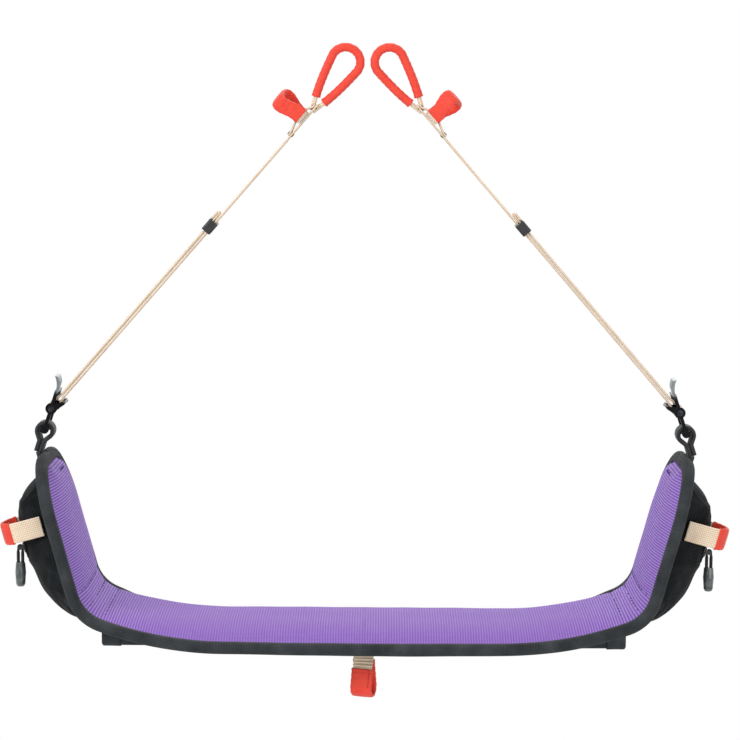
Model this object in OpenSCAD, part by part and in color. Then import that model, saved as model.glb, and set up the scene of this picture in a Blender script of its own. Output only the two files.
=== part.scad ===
// Bosun's chair: a hanging work seat with two side wings and two adjustable straps.
// Millimetres, Z up, X to the seat's right, front edge towards -Y.
// The origin is the point between the two eyes, where a connector carries the chair.

/* [Seat] */
// flat middle length of the pad
seat_flat = 280; // [220:2:360]
// sideways run over which each end of the pad lifts
lift_run = 112; // [90:1:130]
// height the pad has gained at the fold line
seat_lift = 18; // [12:0.5:22]
// front to back size of the pad, without its binding's outer skin
pad_depth = 160; // [148:1:190]
// pad thickness in the middle: mesh, foam and backing
pad_t = 12; // [10:0.5:14]
// pad thickness where the binding squeezes it
edge_t = 7.5; // [6:0.25:9]
// how far the pad's top falls from its crown to the bound edge
edge_drop = 9; // [7:0.25:10]
// how far the soft front edge bows forward in the middle
front_bow = 6; // [0:0.5:12]
// how far the soft front edge sags in the middle
front_sag = 2; // [0:0.25:4]

/* [Board and sleeve] */
// front to back size of the rigid board
board_depth = 96; // [80:1:104]
// board thickness
board_t = 6; // [4:0.5:9]
// thickness of the sleeve's cloth
sleeve_wall = 1.2; // [0.8:0.1:2]

/* [Wings] */
// wing length along its slope, past the fold's bend
wing_len = 133; // [120:1:160]
// wing angle from level, degrees
wing_angle = 74.5; // [68:0.5:80]
// bend radius at the fold
bend_r = 30; // [24:1:36]
// width of the wing's blunt top
tip_w = 44; // [40:1:60]
// length of the wing's rounded upper part
tip_round = 62; // [50:1:80]
// width of the binding tape's lip
lip = 9; // [7:0.5:11]

/* [Pockets] */
// how far the slack pocket stands out from the wing
pocket_bulge = 33; // [26:1:40]
// front to back size of the pocket
pocket_w = 134; // [126:1:138]
// height of the zip on the wing's slope
zip_u = 50; // [44:1:54]
// height of the gear loop's middle on the wing's slope
gear_u = 72; // [70:1:78]
// inside radius of the gear loop's bend
gear_r = 18; // [14:0.5:20]

/* [Webbing] */
// width of all the webbing
web_w = 20; // [18:0.5:24]
// thickness of one layer of webbing
web_t = 2.2; // [1.8:0.1:2.6]

/* [Straps] */
// strap length from the buckle's bar to the throat of the eye
strap_len = 403; // [380:1:480]
// distance of the keeper from the buckle's bar
keeper_t = 240; // [180:1:290]
// length of the sewn splice below the eye
splice_len = 45; // [42:1:60]
// length from the eye's throat to the middle of its round end
eye_len = 46; // [42:0.5:56]
// middle radius of the eye's round end
eye_r = 14.5; // [13.5:0.25:17]
// thickness of the eye's red sleeve
eye_sleeve_t = 9.5; // [9:0.25:10.5]
// half angle between the eye's two legs, degrees
eye_spread = 14; // [13:0.5:15]
// lean of the eye away from the strap's line, degrees
eye_lean = 7; // [4:0.5:10]
// space between the two eyes
eye_gap = 4.5; // [2:0.5:10]
// length of the side loop, out from the strap
side_loop_len = 33; // [28:0.5:40]

/* [Buckles] */
// distance from the buckle's lower bar to the bar that the strap turns round
bar_rise = 22; // [21:0.5:25]
// radius of that bar
bar_r = 3; // [2.5:0.1:3.4]
// lean of the buckle from level, degrees
buckle_lean = 72; // [69:0.5:75]
// length of the black loop that holds the buckle
hang_len = 24; // [22:0.5:30]

/* [Tool loop] */
// length of the loop under the seat
tool_len = 48; // [40:1:60]
// inside radius of its lower bend
tool_r = 7; // [6:0.25:9]

/* [Hidden] */
$fn = 48;
gap = 0.3;
lift_ang = 2 * atan(seat_lift / lift_run);
lift_r = (lift_run * lift_run + seat_lift * seat_lift) / (2 * seat_lift);
s_flat = seat_flat / 2;
s_fold = s_flat + lift_r * lift_ang * PI / 180;
s_wing = s_fold + bend_r * (wing_angle - lift_ang) * PI / 180;
s_tip = s_wing + wing_len;
s_round = s_tip - tip_round;
hd = pad_depth / 2;
tip_h = tip_w / 2;
sleeve_h = board_depth / 2 + sleeve_wall + 0.8;
sleeve_top = -pad_t - 0.2;
sleeve_t = board_t + 2 * sleeve_wall + gap;
sleeve_end = s_flat + lift_run + 4;
board_end = sleeve_end - 6;
flap_end = sleeve_end + sleeve_wall + gap + 2;
under_z = sleeve_top - sleeve_t - sleeve_wall - 2 * gap;
web_x = edge_drop + edge_t + gap;

// the pad's middle line: flat, a slow rise, the fold's bend, then the wing
function bend_end(r, a0, a1) = [r * (sin(a1) - sin(a0)), r * (cos(a0) - cos(a1))];
fold_p = [s_flat, 0] + bend_end(lift_r, 0, lift_ang);
wing_p = fold_p + bend_end(bend_r, lift_ang, wing_angle);
function line_ang(s) =
    s <= s_flat ? 0 :
    s <= s_fold ? (s - s_flat) / lift_r * 180 / PI :
    s <= s_wing ? lift_ang + (s - s_fold) / bend_r * 180 / PI : wing_angle;
function line_at(s) =
    s <= s_flat ? [s, 0] :
    s <= s_fold ? [s_flat, 0] + bend_end(lift_r, 0, line_ang(s)) :
    s <= s_wing ? fold_p + bend_end(bend_r, lift_ang, line_ang(s)) :
    wing_p + (s - s_wing) * [cos(wing_angle), sin(wing_angle)];
// a point on the pad: s along its middle line, y across it, h above its crown
function pad_at(s, y, h) =
    let (p = line_at(abs(s)), a = line_ang(abs(s)), g = s < 0 ? -1 : 1)
    [g * (p[0] - h * sin(a)), y, p[1] + h * cos(a)];

// the wing's and the strap's own places, worked out from the pad
function on_wing_at(x, u) = wing_p + [x * sin(wing_angle) + u * cos(wing_angle),
                                      -x * cos(wing_angle) + u * sin(wing_angle)];
buckle_dir = [-cos(buckle_lean), sin(buckle_lean)];
hang_r = 5.5;
pin_r = 2.6;
throat_u = wing_len + 5;
throat_p = on_wing_at(web_x + web_t / 2, throat_u);
pin_p = throat_p + hang_len * buckle_dir;
bar_p = pin_p + bar_rise * buckle_dir;
eye_x = eye_gap / 2 + eye_r + eye_sleeve_t / 2;
reach_a = strap_len + eye_len * cos(eye_lean);
reach_b = eye_len * sin(eye_lean);
strap_ang = acos((bar_p[0] - eye_x) / norm([reach_a, reach_b])) - atan2(reach_b, reach_a);
eye_z = bar_p[1] + strap_len * sin(strap_ang) + eye_len * sin(strap_ang + eye_lean);
fold_axis = pad_at(s_fold, 0, -(edge_drop + edge_t + 3.5));
zip_y = -14;
zip_x = web_x + web_t + 0.4 + 0.8 + pocket_bulge + 1.6;
bail_x = 6;
pull_p = on_wing_at(zip_x + bail_x, zip_u);
tool_y = -sleeve_h + 10;
tool_pin_r = web_t + 0.2;
tool_z = sleeve_top - sleeve_t - tool_pin_r - gap;

// joint places in this frame, for whoever sets the joints up
echo(fold = [fold_axis[0], 0, fold_axis[2] - eye_z]);
echo(throat = [throat_p[0], 0, throat_p[1] - eye_z]);
echo(pin = [pin_p[0], 0, pin_p[1] - eye_z]);
echo(bar = [bar_p[0], 0, bar_p[1] - eye_z]);
echo(strap_angle = strap_ang);
echo(pull = [pull_p[0], 0, pull_p[1] - eye_z]);
echo(tool = [0, tool_y, tool_z - eye_z]);
echo(eye = [eye_x, 0, eye_z]);

// colours by material
mesh_c = [0.54, 0.40, 0.73];
black_c = [0.16, 0.17, 0.18];
tan_c = [0.88, 0.78, 0.66];
red_c = [0.90, 0.27, 0.18];
foam_c = [0.75, 0.75, 0.72];
wood_c = [0.70, 0.58, 0.42];
steel_c = [0.62, 0.63, 0.65];
dark_c = [0.22, 0.22, 0.24];

// places the chair so that the eyes meet at the origin
module hung() { translate([0, 0, -eye_z]) children(); }
module left() { hung() mirror([1, 0, 0]) children(); }
module right() { hung() children(); }
// X out from the wing, Z up its slope
module on_wing() { translate([wing_p[0], 0, wing_p[1]]) rotate([0, 90 - wing_angle, 0]) children(); }
// X out from the buckle, Z along it
module on_buckle() { translate([pin_p[0], 0, pin_p[1]]) rotate([0, buckle_lean - 90, 0]) children(); }
// X out from the strap, Z along it towards the eye
module on_strap() { translate([bar_p[0], 0, bar_p[1]]) rotate([0, strap_ang - 90, 0]) children(); }
// a flat shape drawn in X and Z, given a width along Y
module across(w) { rotate([90, 0, 0]) linear_extrude(height = w, center = true) children(); }
// a rectangle with exact round corners
module rounded(w, h, r) {
    square([w - 2 * r, h], center = true);
    square([w, h - 2 * r], center = true);
    for (x = [-1, 1], y = [-1, 1]) translate([x * (w / 2 - r), y * (h / 2 - r)]) circle(r);
}
// a round end at c with straight sides running to the point t
module drop(c, t, r) {
    d = norm(t - c);
    a = atan2(t[1] - c[1], t[0] - c[0]);
    k = acos(r / d);
    e = r - 0.03;
    translate(c) circle(r);
    polygon([t, c + e * [cos(a + k), sin(a + k)], c, c + e * [cos(a - k), sin(a - k)]]);
}
// a band of width w round such a shape, with its middle at radius r and its sides closing at half angle k
module drop_band(c, dir, k, r, w) {
    difference() {
        drop(c, c + dir * (r + w / 2) / sin(k), r + w / 2);
        drop(c, c + dir * (r - w / 2) / sin(k), r - w / 2);
    }
}
// a U band drawn in X and Y: bend at the far X end, legs back to x = 0
module u_band(x, r, w) {
    difference() {
        union() {
            translate([x, 0]) circle(r + w);
            translate([0, -r - w]) square([x, 2 * (r + w)]);
        }
        translate([x, 0]) circle(r);
        translate([-1, -r]) square([x + 1, 2 * r]);
    }
}

// a closed sheet between two grids of points that have the same rows and columns
module sheet(top, low) {
    n = len(top);
    m = len(top[0]);
    o = n * m;
    pts = concat([for (r = top) each r], [for (r = low) each r]);
    function at(i, j) = i * m + j;
    polyhedron(pts, concat(
        [for (i = [0 : n - 2], j = [0 : m - 2]) each
            [[at(i, j), at(i + 1, j + 1), at(i + 1, j)], [at(i, j), at(i, j + 1), at(i + 1, j + 1)]]],
        [for (i = [0 : n - 2], j = [0 : m - 2]) each
            [[o + at(i, j), o + at(i + 1, j), o + at(i + 1, j + 1)],
             [o + at(i, j), o + at(i + 1, j + 1), o + at(i, j + 1)]]],
        [for (i = [0 : n - 2]) each
            [[at(i, 0), at(i + 1, 0), o + at(i + 1, 0)], [at(i, 0), o + at(i + 1, 0), o + at(i, 0)],
             [at(i, m - 1), o + at(i + 1, m - 1), at(i + 1, m - 1)],
             [at(i, m - 1), o + at(i, m - 1), o + at(i + 1, m - 1)]]],
        [for (j = [0 : m - 2]) each
            [[at(0, j), o + at(0, j + 1), at(0, j + 1)], [at(0, j), o + at(0, j), o + at(0, j + 1)],
             [at(n - 1, j), at(n - 1, j + 1), o + at(n - 1, j + 1)],
             [at(n - 1, j), o + at(n - 1, j + 1), o + at(n - 1, j)]]]));
}

// pad shape: half depth along the line, crown, sewn channels and thickness
function half_at(s) = s <= s_round ? hd :
    tip_h + (hd - tip_h) * sqrt(max(0, 1 - pow((s - s_round) / tip_round, 2)));
// the line that the tape's lip covers up to
function inner_half(s) = s <= s_round ? hd - lip :
    tip_h - lip + (hd - tip_h) * sqrt(max(0, 1 - pow((s - s_round) / (tip_round - lip), 2)));
function middle(s) = max(0, 1 - pow(s / s_fold, 2));
function soft_front(y) = pow(min(1, max(0, (-y - sleeve_h - 1) / (hd - lip - sleeve_h - 1))), 2);
// the pad thins over this length towards the wing's top
tip_ease = 40;
function near_tip(s) = min(1, max(0, (s - s_tip + tip_ease) / (tip_ease - lip)));
function rise_in(s, y) = max(pow(min(1, abs(y) / inner_half(s)), 4), pow(near_tip(s), 4));
channels = [s_fold, s_fold + (s_wing - s_fold) / 2, s_wing];
function channel(s, y) = abs(y) > inner_half(s) ? 0 :
    2 * max([for (c = channels) max(0, 1 - abs(abs(s) - c) / 4)]) * (1 - rise_in(s, y));
function top_h(s, y) = -edge_drop * rise_in(s, y) - channel(s, y) - front_sag * middle(s) * soft_front(y);
sleeve_k = (sleeve_h + 1) / (hd - lip);
function under_in(s, y) = let (b = inner_half(s), a = sleeve_k * b)
    max(min(1, max(0, (abs(y) - a) / (b - a))), near_tip(s));
function low_h(s, y) = -pad_t - (edge_drop + edge_t - pad_t) * under_in(s, y)
    - front_sag * middle(s) * soft_front(y);
function mesh_at(s, y) = top_h(s, y) - 4 + 1.5 * rise_in(s, y) + channel(s, y) * 0.5;
function foam_at(s, y) = low_h(s, y) + 1;
// columns across the pad, front to back
function cols(s) = let (b = inner_half(s), k = sleeve_k * b, f = front_bow * middle(s))
    [-half_at(s) - f, -b - f, -0.9 * b, -k, -0.4 * b, 0, 0.4 * b, k, 0.9 * b, b, half_at(s)];
seat_rows = let (e = s_fold - gap, d = (s_fold - s_flat) / 4)
    [-e, -e + 4, -e + d, -e + 2 * d, -e + 3 * d, -s_flat, -s_flat / 2, 0,
     s_flat / 2, s_flat, e - 3 * d, e - 2 * d, e - d, e - 4, e];
wing_rows = concat(
    let (d = (s_wing - s_fold) / 4)
    [s_fold + gap, s_fold + d, s_fold + 2 * d, s_fold + 3 * d, s_wing, s_wing + 5],
    [(s_wing + s_round) / 2], [for (a = [0 : 22.5 : 90]) s_round + (tip_round - lip) * sin(a)],
    [s_tip - lip / 3, s_tip]);

module pad_layer(rows, part) {
    function hi(s, y) = part == 0 ? top_h(s, y) : part == 1 ? mesh_at(s, y) : foam_at(s, y);
    function lo(s, y) = part == 0 ? mesh_at(s, y) : part == 1 ? foam_at(s, y) : low_h(s, y);
    sheet([for (s = rows) [for (y = cols(s)) pad_at(s, y, hi(s, y))]],
          [for (s = rows) [for (y = cols(s)) pad_at(s, y, lo(s, y))]]);
}
// the tape's folded section: out from the edge, and height against the crown
tape_out = let (a = -edge_drop, b = -edge_drop - edge_t)
    [[-lip, a + 1.3], [-2, a + 2.2], [2.2, a - 0.5], [3.2, (a + b) / 2],
     [2.2, b + 0.5], [-2, b - 2.2], [-lip, b - 1.3]];
tape_in = let (a = -edge_drop + 0.2, b = -edge_drop - edge_t - 0.2)
    [[-lip, a], [-2, a], [gap, a], [gap, (a + b) / 2], [gap, b], [-2, b], [-lip, b]];
module tape(edge, first, last) {
    function run(sec) = [for (p = edge) [for (k = [first : last])
        pad_at(p[0] + sec[k][0] * p[2], p[1] + sec[k][0] * p[3], sec[k][1] + p[4])]];
    sheet(run(tape_out), run(tape_in));
}
seat_front = [for (s = seat_rows) [s, -hd - front_bow * middle(s), 0, -1, -front_sag * middle(s)]];
wing_edge = concat(
    [for (s = wing_rows) let (a = asin(min(1, max(0, s - s_round) / tip_round)),
                              e = [(hd - tip_h) * sin(a), -tip_round * cos(a)])
        [s, -half_at(s), e[0] / norm(e), e[1] / norm(e), 0]],
    [[s_tip, -web_w / 2 - 1, 1, 0, 0]]);
tip_edge = [[s_tip, -web_w / 2 - 0.6, 1, 0, 0], [s_tip, web_w / 2 + 0.6, 1, 0, 0]];

// seat
module seat_mesh() { color(mesh_c) pad_layer(seat_rows, 0); }
module seat_foam() { color(foam_c) pad_layer(seat_rows, 1); }
module seat_backing() { color(black_c) pad_layer(seat_rows, 2); }
module seat_binding() {
    back = [for (s = seat_rows) [s, -hd, 0, -1, 0]];
    color(black_c) {
        tape(seat_front, 0, 6);
        mirror([0, 1, 0]) tape(back, 0, 6);
    }
}
module seat_board() {
    color(wood_c) translate([0, 0, sleeve_top - sleeve_t / 2])
        linear_extrude(height = board_t, center = true) rounded(2 * board_end, board_depth, 12);
}
module board_sleeve() {
    color(black_c) translate([0, 0, sleeve_top - sleeve_t / 2]) rotate([90, 0, 90])
        linear_extrude(height = 2 * sleeve_end, center = true) difference() {
            rounded(2 * sleeve_h, sleeve_t, 3);
            rounded(2 * (sleeve_h - sleeve_wall), sleeve_t - 2 * sleeve_wall, 0.6);
        }
}
// the folded end stands up past the board towards the rising pad, and its hem runs back under the tube
flap_rise = 8;
flap_hem = 16;
flap_inset = 6;
module sleeve_flap() {
    w = 2 * (sleeve_h - flap_inset);
    z = sleeve_top - sleeve_t;
    color(black_c) across(w) difference() {
        translate([sleeve_end - flap_hem, z - sleeve_wall - gap])
            square([flap_end - sleeve_end + flap_hem, sleeve_t + sleeve_wall + flap_rise]);
        translate([sleeve_end - flap_hem - 1, z - gap])
            square([flap_hem + 1 + gap, sleeve_t + sleeve_wall + gap + flap_rise]);
        translate([flap_end, z - sleeve_wall - gap]) rotate(45) square(2, center = true);
    }
}
module load_webbing() {
    x = flap_end + gap;
    color(black_c) across(web_w) {
        translate([-x - web_t, under_z - web_t]) square([2 * (x + web_t), web_t]);
        for (g = [-1, 1]) translate([g * (x + web_t / 2), (under_z - web_t + fold_axis[2] - 2) / 2])
            square([web_t, fold_axis[2] - 2 - under_z + web_t], center = true);
    }
}
// the loop hangs from a row of stitches, so its top is round about that line
tool_reach = tool_len - tool_r - web_t;
tool_half = asin((tool_r + web_t) / tool_reach);
module on_tool() { translate([0, tool_y, tool_z]) rotate([90, 0, 90]) children(); }
module tool_band(w) { drop_band([0, -tool_reach], [0, 1], tool_half, tool_r + web_t / 2, w); }
module tool_loop() {
    color(tan_c) on_tool() linear_extrude(height = web_w, center = true) {
        tool_band(web_t);
        circle(tool_pin_r);
    }
}
// how far down the loop's front and back legs stay bare above the sleeve
tool_bare = 20;
tool_bare_back = 17;
module tool_loop_sleeve() {
    color(red_c) on_tool() difference() {
        linear_extrude(height = web_w + 2.6, center = true) difference() {
            tool_band(web_t + 2.4);
            translate([-tool_len, -tool_bare]) square([tool_len, 2 * tool_bare]);
            translate([-1, -tool_bare_back]) square([tool_len, 2 * tool_bare]);
        }
        linear_extrude(height = web_w + 0.3, center = true) tool_band(web_t + 0.3);
    }
}

// wing
module wing_mesh() { color(mesh_c) pad_layer(wing_rows, 0); }
module wing_foam() { color(foam_c) pad_layer(wing_rows, 1); }
module wing_backing() { color(black_c) pad_layer(wing_rows, 2); }
module wing_binding() {
    color(black_c) {
        tape(wing_edge, 0, 6);
        mirror([0, 1, 0]) tape(wing_edge, 0, 6);
    }
}
module wing_tip() { color(black_c) tape(tip_edge, 0, 4); }
hang_root = [web_x + web_t / 2, throat_u];
root_r = web_t * 0.8;
module hang_webbing() {
    color(black_c) on_wing() across(web_w) difference() {
        translate([web_x, 0]) square([web_t, throat_u]);
        translate(hang_root) circle(root_r + gap);
    }
}
// the free loop of doubled webbing turns at its sewn root and carries the buckle's pin
module hang_loop() {
    lean = wing_angle - 180 + buckle_lean;
    dir = [sin(lean), cos(lean)];
    reach = hang_len - hang_r + pin_r + gap;
    color(black_c) on_wing() across(web_w) {
        drop_band(hang_root + reach * dir, -dir, asin((hang_r + 2 * web_t) / reach),
                  hang_r + web_t, 2 * web_t);
        translate(hang_root) circle(root_r);
    }
}
// the slack pocket: an open-backed shell of cloth sewn to the wing round its rim
pocket_low = -28;
pocket_top = wing_len - lip - 3;
pocket_mid = (pocket_top + pocket_low) / 2;
pocket_rise = (pocket_top - pocket_low) / 2;
pocket_wall = 1.4;
round_u = wing_len - tip_round;
function pocket_half(u) = u <= round_u ? pocket_w / 2 : tip_h - 4 + (pocket_w / 2 - tip_h + 4)
    * sqrt(max(0, 1 - pow((u - round_u) / (pocket_top - round_u), 2)));
// slack cloth hangs full at the top, tapers to the foot, and is drawn in by the gear loop's front leg
function drawn_in(u, k) = k > 0 ? min(1, k * (1 + 0.14 * max(0, 1 - abs(u - gear_u) / 30))) : -k;
function slack(u, k) = let (a = min(1, abs(u - pocket_mid) / pocket_rise))
    pocket_bulge * (1 - pow(a, u > pocket_mid ? 5 : 1.6)) * (1 - pow(drawn_in(u, k), 6));
function crease(u, k) = abs(u - zip_u) < 12 || abs(u - gear_u) < 14 ? 0 :
    2.2 * sin(u * 7 + k * 100) * min(1, slack(u, k) / pocket_bulge * 1.6);
function pocket_base(u, k) = let (b = pocket_half(u), a = web_w / 2 + 1)
    web_x + (web_t + 0.4) * min(1, max(0, b * (1 - abs(k)) / (b - a)));
function pocket_x(u, k) = pocket_base(u, k) + 0.8 + slack(u, k) + crease(u, k);
pocket_us = let (g = gear_u + 14) concat(
    [pocket_low, pocket_low + 5, pocket_low + 14, 0, 14, 26, zip_u - 12, zip_u, (zip_u + gear_u) / 2,
     gear_u, g],
    [for (k = [1 : 4]) g + (pocket_top - g) * sin(k * 22.5)]);
pocket_ks = [-1, -0.93, -0.8, -0.55, -0.2, 0.2, 0.55, 0.8, 0.93, 1];
module wing_pocket() {
    function out(u, k) = [pocket_x(u, k), -k * pocket_half(u), u];
    function within(u, k) = [max(pocket_base(u, k), pocket_x(u, k) - pocket_wall),
        -k * (pocket_half(u) - pocket_wall), pocket_mid + (u - pocket_mid) * (1 - pocket_wall / pocket_rise)];
    color(black_c) on_wing() sheet([for (u = pocket_us) [for (k = pocket_ks) out(u, k)]],
                                   [for (u = pocket_us) [for (k = pocket_ks) within(u, k)]]);
}
// the zip's tape: half its width, its thickness and its gap to the cloth
zip_half = 8;
zip_t = 0.9;
zip_gap = 0.25;
module pocket_zip() {
    ks = [for (k = [-6 : 6]) k * 0.11];
    function x(k) = pocket_x(zip_u, k) + zip_gap;
    us = [zip_u - zip_half, zip_u + zip_half];
    color(dark_c) on_wing() sheet(
        [for (u = us) [for (k = ks) [x(k) + zip_t, -k * pocket_w / 2, u]]],
        [for (u = us) [for (k = ks) [x(k), -k * pocket_w / 2, u]]]);
}
module zip_slider() {
    color(dark_c) on_wing() translate([zip_x, zip_y, zip_u]) {
        rotate([0, 90, 0]) linear_extrude(height = 2.2) rounded(9, 10, 2);
        for (g = [-1, 1]) translate([2, g * 3.6, 0]) rotate([90, 0, 0])
            linear_extrude(height = 1.4, center = true) {
                translate([0, -1.8]) square([4, 3.6]);
                translate([4, 0]) circle(1.8);
            }
        translate([bail_x, 0, 0]) rotate([90, 0, 0]) cylinder(r = 1, h = 6.4, center = true);
    }
}
module zip_cord() {
    color(black_c) translate([pull_p[0], zip_y, pull_p[1]]) across(2.4) difference() {
        translate([0, -9.2]) rounded(6.6, 25, 3.2);
        translate([0, -9.2]) rounded(2.6, 21, 1.25);
    }
}
module zip_tab() {
    color(dark_c) translate([pull_p[0], zip_y, pull_p[1] - 17]) difference() {
        rotate_extrude() polygon([[0, -22], [3.4, -22], [4.6, -20], [5.4, -8], [4.6, 2], [0, 2]]);
        across(2.7) translate([0, 7.8]) rounded(6.9, 25.3, 3.3);
    }
}
gear_x = web_x + pocket_bulge - 3;
gear_y = 25 - pocket_w / 2;
module gear_loop() {
    color(tan_c) on_wing() translate([0, gear_y, gear_u]) linear_extrude(height = web_w, center = true) {
        difference() {
            u_band(gear_x, gear_r, web_t);
            translate([-1, -gear_r - 5]) square([gear_leg(-gear_r) + 1, gear_r + 5]);
            translate([-1, 0]) square([gear_leg(gear_r) + 1, gear_r + 5]);
        }
    }
}
// where each leg of the gear loop meets the pocket
function gear_leg(y) = let (k = -(gear_y + y) * 2 / pocket_w)
    max([for (u = [gear_u - 14, gear_u, gear_u + 14]) pocket_x(u, k)]);
module gear_loop_sleeve() {
    color(red_c) on_wing() translate([0, gear_y, gear_u]) difference() {
        linear_extrude(height = web_w + 2.6, center = true) difference() {
            u_band(gear_x, gear_r - 1.2, web_t + 2.4);
            translate([-1, -gear_r - 8]) square([gear_x + 8, gear_r + 8]);
            translate([-1, -1]) square([gear_leg(gear_r) + 1.4, gear_r + 8]);
        }
        linear_extrude(height = web_w + 0.3, center = true) u_band(gear_x, gear_r - 0.15, web_t + 0.3);
    }
}

// buckle
rail_y = web_w / 2 + 1.4;
rail_t = 3;
module buckle_frame() {
    top = bar_rise + 17;
    color(steel_c) on_buckle() {
        rotate([90, 0, 0]) cylinder(r = pin_r, h = 2 * rail_y + 1, center = true);
        for (g = [-1, 1]) translate([0, g * (rail_y + rail_t / 2), 0]) across(rail_t) difference() {
            union() {
                circle(4.2);
                translate([-1.8, 0]) square([3.6, top + 2]);
                translate([0, bar_rise]) circle(bar_r + 2.6);
                polygon([[-2, bar_rise - 4], [-11.5, bar_rise + 8], [-9.5, bar_rise + 10.5],
                         [0, bar_rise + 4]]);
            }
            translate([0, bar_rise]) circle(bar_r + 0.05);
        }
        translate([-10, 0, bar_rise + 8.6]) rotate([90, 0, 0])
            cylinder(r = 1.4, h = 2 * rail_y + 1, center = true);
        translate([0, 0, top]) across(2 * rail_y + 1) rounded(3.6, 4, 1.5);
        across(web_w + 2) translate([0, top + 1]) intersection() {
            difference() {
                translate([22, 0]) circle(23.2);
                translate([22, 0]) circle(20.8);
            }
            square([12, 14]);
        }
        across(web_w + 2) translate([-1.2, top - 1]) square([2.4, 3]);
    }
}
module buckle_bar() {
    color(dark_c) on_buckle() translate([0, 0, bar_rise]) rotate([90, 0, 0])
        cylinder(r = bar_r, h = 2 * (rail_y + rail_t) + 1.6, center = true);
}

// strap: the turn round the bar, the two layers, the splice and the eye
turn_r = bar_r + gap;
cut_t = 5;
meet_t = 30;
function spread(t) = gap + (turn_r - gap) * max(0, 1 - t / meet_t);
module layer(a, b, side) {
    q = side > 0 ? 1 : -1;
    polygon([[q * spread(a), a], [q * (spread(a) + web_t), a], [q * (spread(meet_t) + web_t), meet_t],
             [q * (spread(b) + web_t), b], [q * spread(b), b], [q * spread(meet_t), meet_t]]);
}
module wrap_outline(out) {
    top = cut_t + 1;
    circle(turn_r + out);
    polygon([[-spread(0) - out, 0], [spread(0) + out, 0], [spread(top) + out, top],
        [-spread(top) - out, top]]);
}
module strap_wrap() {
    color(tan_c) on_strap() across(web_w) difference() {
        wrap_outline(web_t);
        wrap_outline(0);
        translate([-10, cut_t]) square([20, 10]);
    }
}
tail_end = keeper_t + 16;
module strap_tail() {
    color(tan_c) on_strap() across(web_w) {
        layer(cut_t + gap, tail_end, 1);
        translate([gap + web_t - 0.01, keeper_t + 7.2]) square([web_t, tail_end - keeper_t - 7.2]);
    }
}
module strap_keeper() {
    color(black_c) on_strap() translate([0, 0, keeper_t - 6.5]) linear_extrude(height = 13) difference() {
        rounded(2 * web_t + 2 * gap + 5, web_w + 6, 2);
        rounded(2 * web_t + 2 * gap + 0.8, web_w + 1, 0.4);
    }
}
// the eye's legs run this far back into the splice, and its sleeve starts this far past the splice
eye_foot = 14;
eye_bare = 1;
eye_c = [eye_len * sin(eye_lean), strap_len + eye_len * cos(eye_lean)];
eye_dir = -[sin(eye_lean), cos(eye_lean)];
loop_t = strap_len - splice_len / 2;
loop_w = 14;
loop_q = -gap + 0.5;
module strap_run() {
    a = strap_len - splice_len;
    b = strap_len - 5;
    o = loop_q + web_t + 0.6;
    low = loop_t - loop_w / 2 - 2;
    high = loop_t + loop_w / 2 + 2;
    color(tan_c) on_strap() {
        across(web_w) difference() {
            union() {
                layer(cut_t + gap, strap_len - 2, -1);
                polygon([[-gap - 1, a], [-gap + web_t, a], [-gap + web_t, a + 4], [o + web_t, low - 1],
                         [o + web_t, high + 1], [-gap + web_t, b], [-gap - 1, b]]);
            }
            polygon([[-gap, a + 5], [o, low], [o, high], [-gap, b - 1.5]]);
        }
        across(web_w / 2) difference() {
            drop_band(eye_c, eye_dir, eye_spread, eye_r, 2 * web_t);
            translate([-web_w, strap_len - eye_len]) square([2 * web_w, eye_len - eye_foot]);
        }
    }
}
module eye_sleeve() {
    color(red_c) on_strap() difference() {
        across(web_w / 2 + 4) difference() {
            drop_band(eye_c, eye_dir, eye_spread, eye_r, eye_sleeve_t);
            translate([-eye_len, strap_len - 2 * eye_len]) square([2 * eye_len, 2 * eye_len + eye_bare]);
        }
        across(web_w / 2 + 0.4) drop_band(eye_c, eye_dir, eye_spread, eye_r, 2 * web_t + 0.4);
    }
}
// the side loop is threaded under the splice's outer layer, and stays bare this far out from it
loop_h = web_w + 5;
side_bare = 8;
module loop_shape(out, inner) {
    difference() {
        translate([loop_q + side_loop_len / 2, 0])
            rounded(side_loop_len + 2 * out, loop_h + 2 * web_t + 2 * out, 5 + out);
        translate([loop_q + side_loop_len / 2, 0])
            rounded(side_loop_len - 2 * web_t + 2 * inner, loop_h + 2 * inner, 3 + inner);
    }
}
module side_loop() {
    color(tan_c) on_strap() translate([0, 0, loop_t - loop_w / 2])
        linear_extrude(height = loop_w) loop_shape(0, 0);
}
module side_loop_sleeve() {
    color(red_c) on_strap() translate([0, 0, loop_t]) difference() {
        linear_extrude(height = loop_w + 2.6, center = true) difference() {
            loop_shape(1.2, -1.2);
            translate([loop_q - side_loop_len, -2 * loop_h]) square([side_loop_len + side_bare, 4 * loop_h]);
        }
        linear_extrude(height = loop_w + 0.3, center = true) loop_shape(0.15, -0.15);
    }
}

hung() seat_board();
hung() board_sleeve();
left() sleeve_flap();  // sleeve_flap_left
right() sleeve_flap();  // sleeve_flap_right
hung() seat_mesh();
hung() seat_foam();
hung() seat_backing();
hung() seat_binding();
hung() load_webbing();
hung() tool_loop();
hung() tool_loop_sleeve();
left() wing_mesh();  // wing_mesh_left
right() wing_mesh();  // wing_mesh_right
left() wing_foam();  // wing_foam_left
right() wing_foam();  // wing_foam_right
left() wing_backing();  // wing_backing_left
right() wing_backing();  // wing_backing_right
left() wing_binding();  // wing_binding_left
right() wing_binding();  // wing_binding_right
left() wing_tip();  // wing_tip_left
right() wing_tip();  // wing_tip_right
left() hang_webbing();  // hang_webbing_left
right() hang_webbing();  // hang_webbing_right
left() hang_loop();  // hang_loop_left
right() hang_loop();  // hang_loop_right
left() wing_pocket();  // wing_pocket_left
right() wing_pocket();  // wing_pocket_right
left() pocket_zip();  // pocket_zip_left
right() pocket_zip();  // pocket_zip_right
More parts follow.
